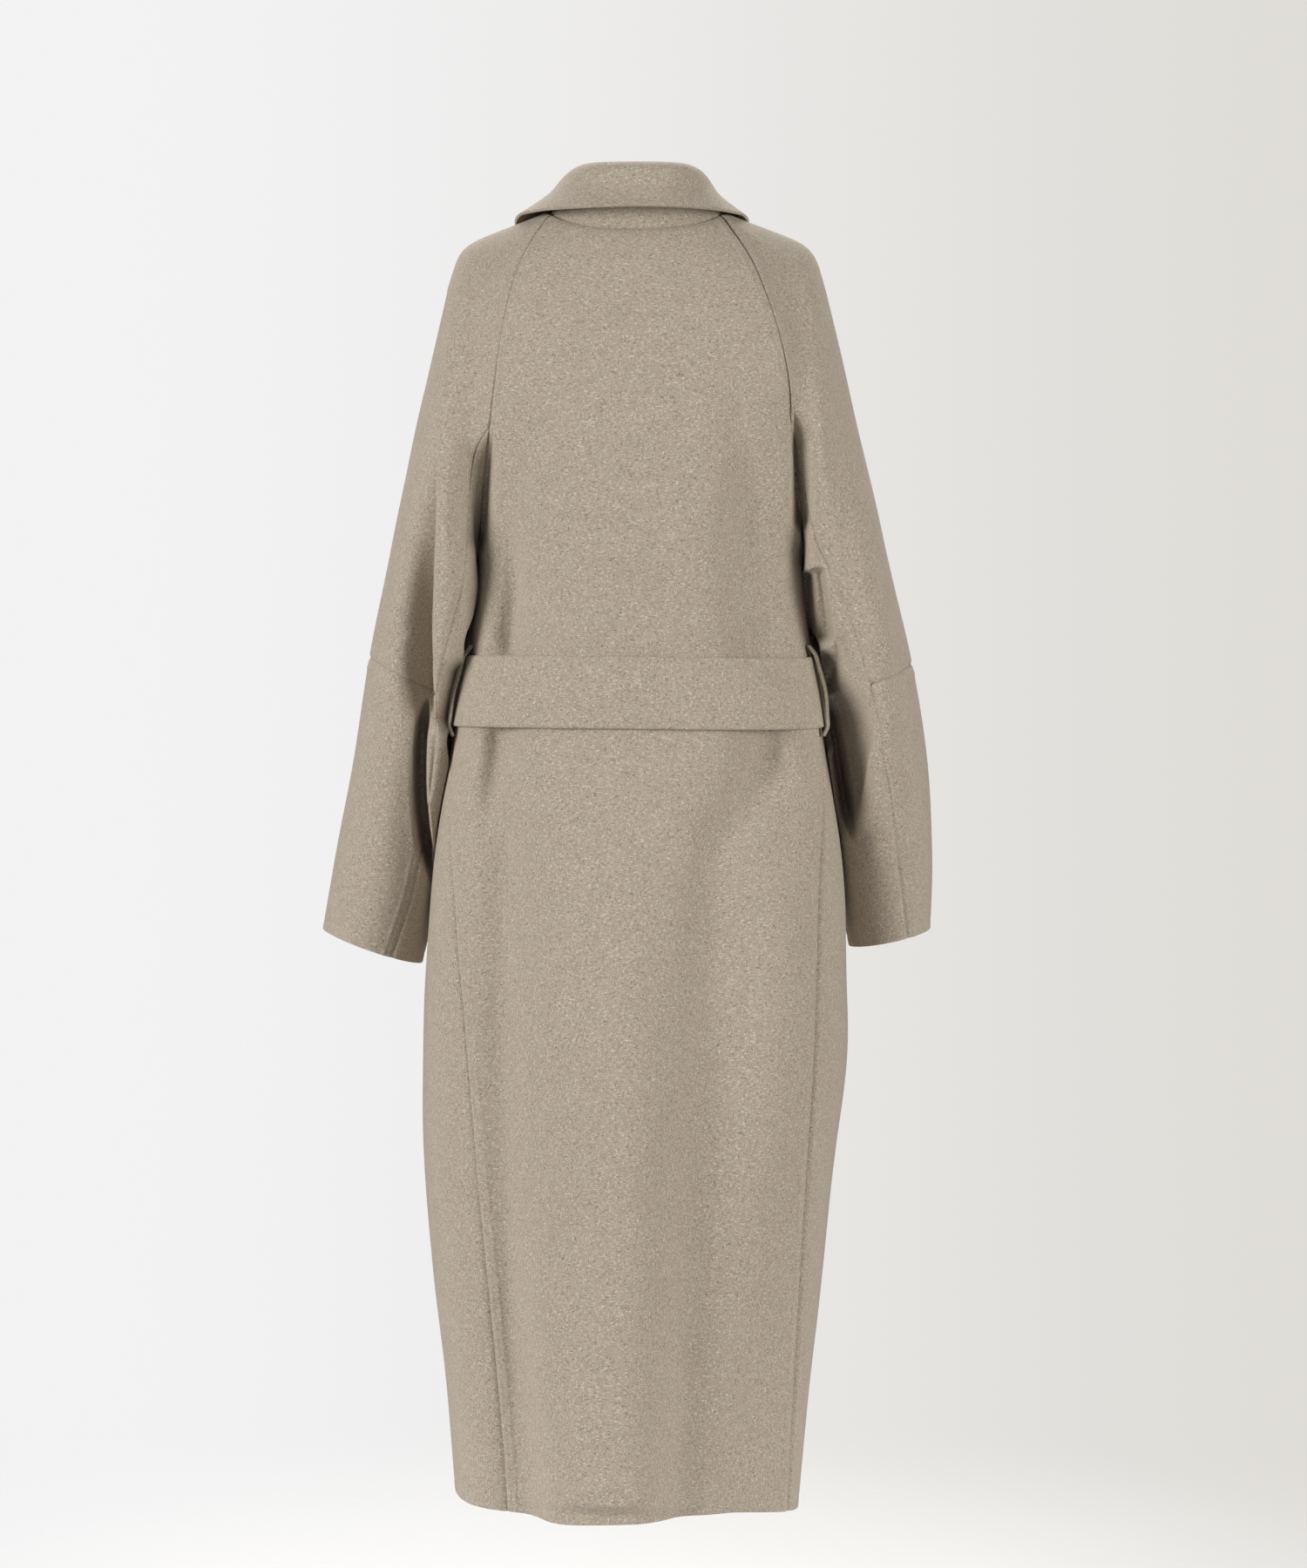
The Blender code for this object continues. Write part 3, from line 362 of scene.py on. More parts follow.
def sleeveCloth(side, column, station):
    rings = sleeveRings[side]
    angle = np.radians(columnAngle(column, rings["seam"]))
    outer = np.stack([rings["outerX"] * side, rings["mid"], rings["outerZ"]], -1)[:, None, :]
    inner = np.stack([rings["innerX"] * side, rings["mid"], rings["innerZ"]], -1)[:, None, :]
    depth = np.where(np.sin(angle) > 0, rings["back"][:, None], rings["front"][:, None]) * np.sin(angle)
    ring = (outer + inner) / 2 + (outer - inner) / 2 * np.cos(angle)[..., None]
    ring[..., 1] += depth
    values = np.concatenate([raglanLoop(side, column)[None], ring])
    points = curveThrough(np.concatenate([[0.0], rings["station"]]), values, station)

    def at(name):
        return lookUp(rings, "station", name, station)

    angle = columnAngle(column, at("seam"))
    middleX, middleZ = (at("outerX") + at("innerX")) / 2 * side, (at("outerZ") + at("innerZ")) / 2
    centre = np.stack([middleX, at("mid"), middleZ], -1)
    away = unit(points - centre[:, None, :]) * sleeveFit["foldWay"]
    along = np.broadcast_to(station[:, None], angle.shape)
    moved = np.zeros_like(angle)
    turned = np.mod(angle, 360)
    for fold in rowsOf(sleeveFolds[side]):
        share = (along - fold["top"]) / (fold["bottom"] - fold["top"])
        offset = turned - mix(share, fold["topAngle"], fold["bottomAngle"])
        offset = np.abs(offset) / np.where(offset < 0, fold["outer"], fold["inner"])
        ends = ease(along, fold["top"], fold["top"] + fold["fade"])
        ends = ends * ease(-along, -fold["bottom"], fold["fade"] - fold["bottom"])
        moved += fold["depth"] * ends * np.exp(-offset * offset)
    points = points + away * moved[..., None]
    y, z = points[..., 1], points[..., 2]
    hollow = sleeveFit["hollows"][side]
    inward = hollow["size"] * ease(y, *sleeveFit["hollowRun"]) * ease(-z, hollow["start"], hollow["full"])
    inward = inward * (1 - ease(-z, hollow["fall"], hollow["end"]))
    clear = sleeveFit["clear"] * ease(along, 0.0, sleeveFit["clearRun"])
    least = bodyReach(y, z) + clear + inward + side * bodySize(z, "shift")
    over = side * points[..., 0] - least
    softness = sleeveFit["softness"] * ease(along, 0.0, sleeveFit["softRun"])
    softly = side * (least + (over + np.hypot(over, softness)) / 2)
    points[..., 0] = np.where((z < coat["underarm"]) & (along > 0), softly, points[..., 0])
    return points


# sewing and the small unevenness of cloth
sewing = {
    "grooves": {"seam": 0.0015, "ridged": 0.0015, "deepSeam": 0.0026, "deepRidged": 0.0026},
    "grooveWidth": 0.0020,
    "ridge": 0.0006,
    "ridgeAt": 0.0092,
    "ridgeWidth": 0.0020,
    "edgeLine": 0.0003,
    "edgeAt": 0.0085,
    "edgeWidth": 0.0014,
    "roughness": 0.0006,
    "creaseRun": 0.03,
    "creaseEnd": 0.4,
}

# creases in millimetres, as seen from the view point or from as far before the coat. x is to the wearer's
# left. bow: how far the middle stands to the left. left, right: half widths. depth: + is out. sharp: 2 is
# round, less is crisp, more is flat with steep sides. fades: shares of the length at each end.
# lean: how far it hangs over to the left
viewPoint = {"distance": 3.6, "level": -0.32}
creaseColumns = "startX startZ endX endZ bow left right depth sharp fadeStart fadeEnd lean"
backCreases = table(creaseColumns, [
    (113, -300, 117, -415, 0, 11, 6, -10.0, 1.6, 0.8, 0.06, 0),
    (143, -320, 147, -415, 0, 11, 12, 4.0, 2.0, 0.8, 0.1, 0),
    (128, -474, 146, -603, 0, 9, 11, -9.0, 2.0, 0.06, 0.7, 0),
    (148, -480, 164, -590, 0, 10, 12, 3.5, 2.0, 0.15, 0.7, 0),
    (-112, -303, -125, -415, 0, 14, 12, -5.0, 1.8, 0.8, 0.06, 0),
    (-126, -474, -134, -541, 0, 12, 12, -4.5, 1.8, 0.06, 0.8, 0),
    (33, -381, 34, -415, 0, 6, 6, -1.4, 1.8, 0.8, 0.1, 0),
    (-57, -387, -60, -415, 0, 7, 6, -1.3, 1.8, 0.8, 0.1, 0),
    (66, -476, 63, -517, 0, 7, 7, -1.6, 1.8, 0.1, 0.8, 0),
    (-49, -476, -47, -508, 0, 6, 7, -1.4, 1.8, 0.1, 0.8, 0),
    (103, -123, 120, -336, 0, 16, 16, -5.0, 2.0, 0.4, 0.4, 0),
    (-93, -123, -110, -353, 0, 18, 14, -5.0, 2.0, 0.4, 0.4, 0),
    (-131, -480, -57, -623, -6, 22, 20, -11.0, 1.9, 0.2, 0.4, 0),
    (121, -517, 107, -1210, 4, 22, 42, -14.0, 1.9, 0.2, 0.5, 0),
    (12, -582, 15, -1222, 0, 52, 42, 13.0, 2.0, 0.4, 0.02, 0),
])
sleeveCreases = table(creaseColumns, [
    (179, -33, 192, -492, 0, 22, 2.5, -17.0, 1.2, 0.25, 0.12, 0),
    (182, -189, 194, -492, 0, 18, 2.5, -22.0, 1.3, 0.7, 0.12, 0),
    (198, -449, 191, -628, 9, 6.5, 5.5, -45.0, 4.0, 0.18, 0.2, 0),
    (175, -33, 189, -517, 0, 3, 15, 8.0, 1.9, 0.25, 0.3, 6),
    (166, -412, 179, -488, 0, 8, 12, -20.0, 2.0, 0.2, 0.25, 0),
    (254, -426, 275, -656, 0, 14, 14, 2.5, 2.0, 0.4, 0.3, 0),
    (256, -403, 210, -387, 0, 8, 9, -3.0, 1.7, 0.4, 0.4, 0),
    (220, -139, 231, -320, 0, 14, 12, -3.0, 1.9, 0.5, 0.5, 0),
    (-211, -205, -245, -439, 0, 7, 6, 3.0, 1.6, 0.3, 0.2, 0),
    (-170, -328, -180, -401, 0, 10, 7, -15.0, 4.0, 0.09, 0.1, 0),
    (-175, -328, -188, -400, 0, 5, 2.5, -8.0, 1.6, 0.15, 0.2, 0),
    (-180, -326, -192, -403, 0, 3.5, 10, 3.0, 2.0, 0.15, 0.15, 3),
    (-160, -330, -165, -410, 0, 6, 5.5, -34.0, 3.0, 0.09, 0.1, 0),
    (-163, -411, -190, -399, 0, 4, 5, 6.0, 1.8, 0.2, 0.2, 0),
    (-182, -406, -179, -451, 0, 12, 10, -13.0, 3.0, 0.15, 0.18, 0),
    (-193, -402, -182, -448, 0, 4, 4, -9.0, 1.8, 0.3, 0.3, 0),
    (-186, -422, -198, -589, -12, 17, 17, -22.0, 4.0, 0.3, 0.25, 0),
    (-180, -449, -206, -589, 0, 5.5, 5.5, -36.0, 3.0, 0.15, 0.2, 0),
    (-226, -480, -207, -589, -4, 4, 14, 5.0, 1.8, 0.3, 0.3, 5),
    (-186, -123, -201, -287, 0, 12, 12, -3.0, 1.9, 0.5, 0.5, 0),
])
seamCreases = table(creaseColumns, [
    (134, -197, 147, -320, 0, 14, 3.5, -24.0, 1.2, 0.3, 0.15, 0),
    (-148, -172, -154, -299, 0, 3.5, 11, -24.0, 1.3, 0.35, 0.12, 0),
])
frontCreases = table(creaseColumns, [
    (95, -330, 88, -412, 0, 9, 9, -4.0, 1.8, 0.7, 0.08, 0),
    (60, -350, 58, -412, 0, 7, 7, -2.5, 1.8, 0.7, 0.08, 0),
    (-70, -345, -66, -412, 0, 8, 8, -3.0, 1.8, 0.7, 0.08, 0),
    (-112, -330, -105, -412, 0, 10, 9, -4.0, 1.8, 0.7, 0.08, 0),
    (85, -478, 98, -610, 0, 10, 11, -4.0, 1.8, 0.08, 0.7, 0),
    (-62, -478, -70, -590, 0, 9, 9, -3.0, 1.8, 0.08, 0.7, 0),
    (-110, -478, -128, -620, 0, 11, 10, -4.5, 1.8, 0.08, 0.7, 0),
    (120, -520, 105, -1190, 0, 24, 20, -5.0, 2.0, 0.2, 0.05, 0),
    (-125, -540, -100, -1190, 0, 22, 22, -5.0, 2.0, 0.2, 0.05, 0),
    (120, -130, 105, -330, 0, 14, 14, -4.0, 2.0, 0.4, 0.4, 0),
    (-118, -130, -100, -330, 0, 14, 14, -4.0, 2.0, 0.4, 0.4, 0),
    (205, -380, 262, -420, 0, 9, 10, -7.0, 1.7, 0.3, 0.4, 0),
    (200, -430, 255, -447, 0, 8, 9, -5.0, 1.7, 0.3, 0.4, 0),
    (212, -470, 240, -620, 0, 14, 12, -6.0, 1.9, 0.3, 0.3, 0),
    (-208, -372, -262, -415, 0, 9, 10, -7.0, 1.7, 0.3, 0.4, 0),
    (-202, -425, -258, -442, 0, 8, 9, -5.0, 1.7, 0.3, 0.4, 0),
    (-214, -470, -236, -610, 0, 12, 14, -6.0, 1.9, 0.3, 0.3, 0),
])


def clothNormals(points):
    return unit(np.cross(np.gradient(points, axis=1), np.gradient(points, axis=0)))


def runLengths(points, axis):  # distance along the cloth from the first row or column
    steps = np.linalg.norm(np.diff(points, axis=axis), axis=-1)
    return np.concatenate([np.zeros_like(np.take(steps, [0], axis)), np.cumsum(steps, axis)], axis)


def creased(points, creases, middle=0.0):  # middle: y between the back and the front half
    x, y, z = np.moveaxis(points, -1, 0)
    lift, lean = np.zeros_like(y), np.zeros_like(y)
    for facing, rows in ((1, rowsOf(creases) + rowsOf(seamCreases)), (-1, rowsOf(frontCreases))):
        nearer = viewPoint["distance"] / (viewPoint["distance"] - facing * y)
        seenX, seenZ = x * nearer * 1000, mix(nearer, viewPoint["level"], z) * 1000
        half = facing * ease(facing * (y - middle), 0.0, sewing["creaseRun"])
        for crease in rows:
            runX, runZ = crease["endX"] - crease["startX"], crease["endZ"] - crease["startZ"]
            length = math.hypot(runX, runZ)
            along = ((seenX - crease["startX"]) * runX + (seenZ - crease["startZ"]) * runZ) / length**2
            offset = ((seenZ - crease["startZ"]) * runX - (seenX - crease["startX"]) * runZ) / length
            offset = offset - crease["bow"] * 4 * along * (1 - along)
            ends = ease(along, 0.0, crease["fadeStart"]) * ease(1 - along, 0.0, crease["fadeEnd"])
            wide = np.where(offset > 0, crease["left"], crease["right"])
            wide = wide * mix(ends, sewing["creaseEnd"], 1.0)
            form = half * ends * np.exp(-((np.abs(offset) / wide) ** crease["sharp"])) / 1000
            lift += form * crease["depth"]
            lean += form * crease["lean"]
    return points + np.stack([lean, lift, 0 * lift], -1)


def unevenness(points):  # slow dents and swells that run on across the seams
    waves = table("x y z phase share", [
        (31, 22, 17, 0.3, 0.30), (-24, 35, 29, 1.9, 0.26), (47, -18, 38, 4.1, 0.20),
        (-39, -44, 61, 2.6, 0.14), (66, 52, -45, 5.2, 0.10),
    ])
    return sum(
        wave["share"] * np.sin(points @ np.array([wave["x"], wave["y"], wave["z"]]) + wave["phase"])
        for wave in rowsOf(waves)
    )


def dressed(points, outward, edges):  # edges: kind of the left, right, bottom and top edge
    normals = clothNormals(points)
    if np.sum(normals * outward) < 0:
        normals = -normals
    lift = sewing["roughness"] * unevenness(points)
    across, up = runLengths(points, 1), runLengths(points, 0)
    reaches = (across, across[:, -1:] - across, up, up[-1:, :] - up)

    def line(reach, at, wide):
        return np.exp(-(((reach - at) / wide) ** 2))

    for kind, reach in zip(edges, reaches):
        if kind in sewing["grooves"]:
            lift = lift - sewing["grooves"][kind] * line(reach, 0.0, sewing["grooveWidth"])
        if kind in ("ridged", "deepRidged"):
            lift = lift + sewing["ridge"] * line(reach, sewing["ridgeAt"], sewing["ridgeWidth"])
        if kind == "edge":
            lift = lift - sewing["edgeLine"] * line(reach, sewing["edgeAt"], sewing["edgeWidth"])
    return points + normals * lift[..., None], normals


# melange wool: light and dark fibres in short streaks both ways of the weave, matte and a little fuzzy
wool = {
    "dark": (0.135, 0.106, 0.080),
    "middle": (0.430, 0.366, 0.297),
    "light": (0.730, 0.656, 0.563),
    "rust": (0.395, 0.312, 0.240),
    "moss": (0.390, 0.358, 0.280),
    "streakLong": 0.0034,
    "streakThin": 0.0011,
    "cloud": 0.030,
    "patch": 0.009,
    "bump": 0.35,
    "bumpDepth": 0.0007,
    "fuzz": 0.0009,
    "lightWeft": (0.53, 0.72),
    "lightWarp": (0.56, 0.74),
    "lightShare": 0.74,
    "darkWeft": (0.54, 0.72),
    "darkWarp": (0.57, 0.74),
    "darkShare": 0.72,
    "patchSpan": (0.35, 0.68),
    "cloudSpan": (0.3, 0.7),
    "cloudShare": 0.35,
    "streakLift": 0.5,
    "noiseRoughness": 0.6,
    "roughness": 0.95,
    "specular": 0.25,
    "sheen": 0.22,
    "sheenRoughness": 0.45,
    "sheenTint": (0.95, 0.91, 0.85),
}


def ranged(nodes, links, value, span, result=(0.0, 1.0), kind="SMOOTHSTEP"):
    made = nodes.new("ShaderNodeMapRange")
    made.interpolation_type = kind
    for name, number in zip(("From Min", "From Max", "To Min", "To Max"), (*span, *result)):
        made.inputs[name].default_value = number
    links.new(value, made.inputs["Value"])
    return made.outputs["Result"]


def woolMaterial(name):
    material = bpy.data.materials.new(name)
    material.use_nodes = True
    nodes, links = material.node_tree.nodes, material.node_tree.links
    shader = nodes["Principled BSDF"]
    shader.inputs["Roughness"].default_value = wool["roughness"]
    shader.inputs["Specular IOR Level"].default_value = wool["specular"]
    shader.inputs["Sheen Weight"].default_value = wool["sheen"]
    shader.inputs["Sheen Roughness"].default_value = wool["sheenRoughness"]
    shader.inputs["Sheen Tint"].default_value = (*wool["sheenTint"], 1.0)
    place = nodes.new("ShaderNodeTexCoord")

    def noise(wide, high, detail, shift):
        mapping = nodes.new("ShaderNodeMapping")
        mapping.inputs["Location"].default_value = (shift, shift * 0.7, shift * 1.3)
        mapping.inputs["Scale"].default_value = (1 / wide, 1 / min(wide, high), 1 / high)
        links.new(place.outputs["Object"], mapping.inputs["Vector"])
        made = nodes.new("ShaderNodeTexNoise")
        made.noise_dimensions = "3D"
        made.inputs["Scale"].default_value = 1.0
        made.inputs["Detail"].default_value = detail
        made.inputs["Roughness"].default_value = wool["noiseRoughness"]
        links.new(mapping.outputs["Vector"], made.inputs["Vector"])
        return made.outputs["Fac"]

    def ramp(value, name):
        return ranged(nodes, links, value, wool[name])

    def sums(kind, one, other):
        made = nodes.new("ShaderNodeMath")
        made.operation = kind
        for socket, value in zip(made.inputs, (one, other)):
            if isinstance(value, (int, float)):
                socket.default_value = value
            else:
                links.new(value, socket)
        return made.outputs["Value"]

    def blend(amount, one, other):
        made = nodes.new("ShaderNodeMix")
        made.data_type = "RGBA"
        links.new(amount, made.inputs["Factor"])
        for socket, value in ((made.inputs["A"], one), (made.inputs["B"], other)):
            if isinstance(value, tuple):
                socket.default_value = (*value, 1.0)
            else:
                links.new(value, socket)
        return made.outputs["Result"]

    long, thin = wool["streakLong"], wool["streakThin"]
    weft, warp = noise(long, thin, 2.0, 3.1), noise(thin, long, 2.0, 11.7)
    weftDark, warpDark = noise(long * 0.8, thin * 1.1, 2.0, 23.9), noise(thin * 1.1, long * 0.8, 2.0, 37.3)
    cloud = noise(wool["cloud"], wool["cloud"] * 0.7, 3.0, 5.5)
    patch = noise(wool["patch"], wool["patch"] * 0.6, 2.0, 51.0)
    light = sums("MAXIMUM", ramp(weft, "lightWeft"), ramp(warp, "lightWarp"))
    dark = sums("MAXIMUM", ramp(weftDark, "darkWeft"), ramp(warpDark, "darkWarp"))
    ground = blend(ramp(patch, "patchSpan"), wool["rust"], wool["moss"])
    clouded = sums("MULTIPLY_ADD", ramp(cloud, "cloudSpan"), wool["cloudShare"])  # plus the node's 0.5
    ground = blend(clouded, ground, wool["middle"])
    colour = blend(sums("MULTIPLY", dark, wool["darkShare"]), ground, wool["dark"])
    colour = blend(sums("MULTIPLY", light, wool["lightShare"]), colour, wool["light"])
    links.new(colour, shader.inputs["Base Color"])
    fuzz = noise(wool["fuzz"], wool["fuzz"], 2.0, 71.0)
    streaks = sums("MULTIPLY", sums("SUBTRACT", light, dark), wool["streakLift"])
    height = sums("ADD", streaks, fuzz)
    bump = nodes.new("ShaderNodeBump")
    bump.inputs["Strength"].default_value = wool["bump"]
    bump.inputs["Distance"].default_value = wool["bumpDepth"]
    links.new(height, bump.inputs["Height"])
    links.new(bump.outputs["Normal"], shader.inputs["Normal"])
    return material


clothMaterial = woolMaterial("melangeWool")
print("wool material made")


def newObject(name, bm):
    mesh = bpy.data.meshes.new(name)
    bm.to_mesh(mesh)
    bm.free()
    made = bpy.data.objects.new(name, mesh)
    bpy.context.scene.collection.objects.link(made)
    return made


def sided(name, node, side):  # the names of one of a pair
    ending = "left" if side > 0 else "right"
    return {"name": name + ending.capitalize(), "node": node + "_" + ending}


def sharesOf(settings):  # across and along the cloth, closer at its edges
    alongCrowd, acrossCrowd = settings["crowd"]
    return crowded(settings["columns"], acrossCrowd), crowded(settings["rows"], alongCrowd)


def gridMesh(points):
    rows, columns = points.shape[:2]
    bm = bmesh.new()
    bmesh.ops.create_grid(bm, x_segments=columns - 1, y_segments=rows - 1, size=0.5)
    for vert in bm.verts:
        column = round((vert.co.x + 0.5) * (columns - 1))
        row = round((vert.co.y + 0.5) * (rows - 1))
        vert.co = points[row, column]
    return bm


def handOver(made, settings):
    mesh = made.data
    mesh.shade_smooth()
    mesh.materials.append(clothMaterial)
    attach(made, "root")
    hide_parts(settings["node"])
    area = sum(polygon.area for polygon in mesh.polygons)
    print("%-16s %6d faces, %.4f m2" % (made.name, len(mesh.polygons), area))


clothEdge = {"angle": 50, "wallShare": 0.42, "segments": 2}


def layCloth(settings, points, normals):
    rows, columns = points.shape[:2]
    made = newObject(settings["name"], gridMesh(points))
    mesh = made.data
    middle = mesh.polygons[(rows // 2) * (columns - 1) + columns // 2]
    if np.dot(middle.normal, normals[rows // 2, columns // 2]) < 0:
        mesh.flip_normals()
    wall = made.modifiers.new("wall", "SOLIDIFY")
    wall.thickness = settings["wall"]
    wall.offset = -1.0
    soft = made.modifiers.new("softEdge", "BEVEL")
    soft.limit_method = "ANGLE"
    soft.angle_limit = math.radians(clothEdge["angle"])
    soft.width = settings["wall"] * clothEdge["wallShare"]
    soft.segments = clothEdge["segments"]
    handOver(made, settings)


# back, one piece from hem to neck
back = {
    "name": "backPanel",
    "node": "back",
    "columns": 111,
    "rows": 241,
    "crowd": (0.5, 0.75),
    "wall": 0.0025,
    "flat": (0.46, 1.20),
    "area": 0.41,
    "held": "hung",
    "restsOn": ["collar", "sleeve_upper_left", "sleeve_upper_right"],
    "edges": ("deepRidged", "ridged", "edge", "seam"),
}


def makeBack():
    columns, rows = sharesOf(back)
    across, row = np.meshgrid(columns * 2 - 1, rows * (coat["skirtRows"] + backRows))
    points = creased(backCloth(across, row), backCreases)
    layCloth(back, *dressed(points, np.array([0.0, 1.0, 0.0]), back["edges"]))


# fronts, the right one over the left
fronts = {
    1: {"area": 0.40, "edges": ("seam", "edge", "edge", "seam")},
    -1: {"area": 0.39, "edges": ("deepSeam", "edge", "edge", "seam")},
}
frontShared = {
    "columns": 71,
    "rows": 211,
    "crowd": (0.5, 0.75),
    "wall": 0.0025,
    "flat": (0.50, 1.16),
    "held": "hung",
    "restsOn": ["collar"],
    "lapStart": 0.8,
}


def makeFront(side):
    settings = {**frontShared, **fronts[side], **sided("front", "front", side)}
    columns, rows = sharesOf(settings)
    lapStart = settings["lapStart"]
    columns = np.where(columns < lapStart, columns / lapStart, 1 + (columns - lapStart) / (1 - lapStart))
    across, row = np.meshgrid(columns, rows * (coat["skirtRows"] + frontRows))
    points = creased(frontCloth(side, across, row), backCreases)
    layCloth(settings, *dressed(points, np.array([0.0, -1.0, 0.0]), settings["edges"]))


# sleeves, each of three pieces
sleeves = {
    "upper": {
        "rows": 141,
        "columns": 201,
        "crowd": (0.4, 0.55),
        "flat": {1: (0.42, 0.48), -1: (0.42, 0.48)},
        "area": {1: 0.13, -1: 0.13},
        "edges": ("seam", "ridged", "seam", "seam"),
        "restsOn": ["collar"],
    },
    "lower": {
        "rows": 75,
        "columns": 111,
        "crowd": (0.5, 0.75),
        "flat": {1: (0.36, 0.28), -1: (0.33, 0.27)},
        "area": {1: 0.08, -1: 0.07},
        "edges": ("seam", "ridged", "ridged", "edge"),
    },
    "under": {
        "rows": 301,
        "columns": 91,
        "crowd": (0.2, 0.4),
        "flat": {1: (0.08, 0.78), -1: (0.10, 0.78)},
        "area": {1: 0.038, -1: 0.050},
        "edges": ("seam", "seam", "seam", "edge"),
        "restsOn": ["back"],
    },
}
sleeveShared = {"wall": 0.0025, "held": "hung"}


def makeSleeve(side, part):
    names = sided("sleeve" + part.capitalize(), "sleeve_" + part, side)
    settings = {**sleeveShared, **sleeves[part], **names}
    settings["flat"], settings["area"] = settings["flat"][side], settings["area"][side]
    if part == "lower":
        settings["restsOn"] = [names["node"].replace("lower", "upper")]
    columns, rows = sharesOf(settings)
    start = backRows - coat["seamRow"]
    first, last = (start, backRows) if part == "under" else (backRows, around + start)
    low = sleeveFit["elbow"] if part == "lower" else 0.0
    high = sleeveFit["elbow"] if part == "upper" else sleeveFit["cuff"]
    station = mix(rows, low, high)
    points = sleeveCloth(side, mix(columns, first, last), station)
    outward = points - points.mean(axis=(0, 1))
    points = creased(points, sleeveCreases, lookUp(sleeveRings[side], "station", "mid", station)[:, None])
    layCloth(settings, *dressed(points, outward, settings["edges"]))


# collar, stand and fall in one
collar = {
    "name": "collarRoll",
    "node": "collar",
    "columns": 181,
    "rows": 45,
    "crowd": (0.2, 0.3),
    "wall": 0.0025,
    "flat": (0.62, 0.13),
    "area": 0.072,
    "held": "folded",
    "restsOn": ["back", "sleeve_upper_left", "sleeve_upper_right"],
    "edges": ("edge", "edge", "", "edge"),
    "rollRadius": 0.0052,
    "rollBreadth": 0.0135,
    "rollDrop": 1.2,
    "backShare": 0.32,
    "frontShare": 0.62,
    "meet": 0.994,
    "footDrop": 0.004,
    "footGap": 0.0004,
    "edgeShift": (0.004, 0.0, 0.0),
    "sag": (-0.005, 0.003),
    "sagRun": (0.45, 0.75),
    "standEnd": 0.45,
    "stops": (0.0, 0.20, 0.40, 0.47, 0.58, 0.78, 1.0),
}
collarLines = table("share rollX rollY rollZ edgeX edgeY edgeZ", [
    (-0.18, -0.0320, 0.054, 0.047, -0.054, 0.0830, 0.003),
    (0.00, 0.0000, 0.060, 0.047, 0.000, 0.0910, 0.004),
    (0.18, 0.0320, 0.054, 0.047, 0.054, 0.0830, 0.003),
    (0.32, 0.0470, 0.033, 0.047, 0.092, 0.0540, 0.002),
    (0.47, 0.0525, -0.003, 0.044, 0.110, -0.0040, 0.000),
    (0.56, 0.0510, -0.026, 0.036, 0.109, -0.0440, -0.019),
    (0.66, 0.0460, -0.048, 0.016, 0.101, -0.0800, -0.048),
    (0.80, 0.0300, -0.069, -0.014, 0.077, -0.1080, -0.093),
    (1.00, 0.0120, -0.082, -0.038, 0.046, -0.1250, -0.140),
])


def neckSeam(share):  # from centre back, 0, to centre front, 1 left and -1 right
    top = coat["skirtRows"]
    side = np.where(share >= 0, 1.0, -1.0)
    reach = np.abs(share)
    onBack = backCloth(share / collar["backShare"], np.full_like(share, top + backRows))
    strip = (collar["frontShare"] - reach) / (collar["frontShare"] - collar["backShare"])
    column = backRows + frontRows + coat["neckStrip"] * np.clip(strip, 0.0, 1.0)
    onStrip = np.where((side > 0)[:, None], raglanLoop(1, column), raglanLoop(-1, column))
    across = np.clip((reach - collar["frontShare"]) / (1 - collar["frontShare"]), 0, 1)
    onFront = frontCloth(-1, across, np.full_like(share, top + frontRows))
    onFront[:, 0] *= -side
    late = np.where((reach <= collar["frontShare"])[:, None], onStrip, onFront)
    return np.where((reach <= collar["backShare"])[:, None], onBack, late)


def makeCollar():
    share, along = sharesOf(collar)
    share = (share * 2 - 1) * collar["meet"]

    def line(name):
        x, y, z = (lookUp(collarLines, "share", name + axis, np.abs(share)) for axis in "XYZ")
        return np.stack([x * np.sign(share), y, z], -1)

    roll, edge = line("roll"), line("edge") + collar["edgeShift"]
    outward = unit((edge - roll) * (1, 1, 0))
    up = np.array([0.0, 0.0, 1.0])
    neck = neckSeam(share)
    run = np.gradient(neck, axis=0)
    neckOut = unit(np.stack([-run[:, 1], run[:, 0], np.zeros(len(run))], -1))
    foot = neck - neckOut * (2 * collar["wall"] + collar["footGap"]) - up * collar["footDrop"]
    standTop = roll - (outward + up) * collar["rollRadius"]
    fallTop = roll + outward * collar["rollBreadth"] - up * collar["rollRadius"] * collar["rollDrop"]
    sag = mix(ease(np.abs(share), *collar["sagRun"]), *collar["sag"])[:, None]
    stand, fall = (foot + standTop) / 2, (fallTop + edge) / 2 + outward * sag
    lines = np.stack([foot, stand, standTop, roll, fallTop, fall, edge])
    points = curveThrough(collar["stops"], lines, along)
    facing = np.where(along < collar["standEnd"], -1.0, 1.0)[:, None, None]
    layCloth(collar, *dressed(points, outward * facing, collar["edges"]))


# belt, its loops, the knot and the hanging ends
belt = {
    "name": "beltBand",
    "node": "belt",
    "columns": 221,
    "rows": 15,
    "crowd": (0.4, 0.0),
    "wall": 0.0042,
    "flat": (0.90, 0.066),
    "area": None,
    "held": "stretched",
    "restsOn": ["back", "front_left", "front_right", "belt_loop_left", "belt_loop_right"],
    "edges": ("", "", "edge", "edge"),
    "level": -0.444,
    "width": 0.066,
    "lift": 0.0010,
    "bow": 0.0008,
    "ripple": 0.0006,
    "rippleTurns": (9.0, 4.0),
    "waver": 0.0012,
    "waverTurns": 3.1,
    "waverStart": 0.4,
    "knotHalf": (0.026, 0.015, 0.034),
}


def beltFace(turn, up, out):
    z = belt["level"] + up * belt["width"] / 2
    return bodyPoint(turn, z, belt["lift"] + out, folds=False)


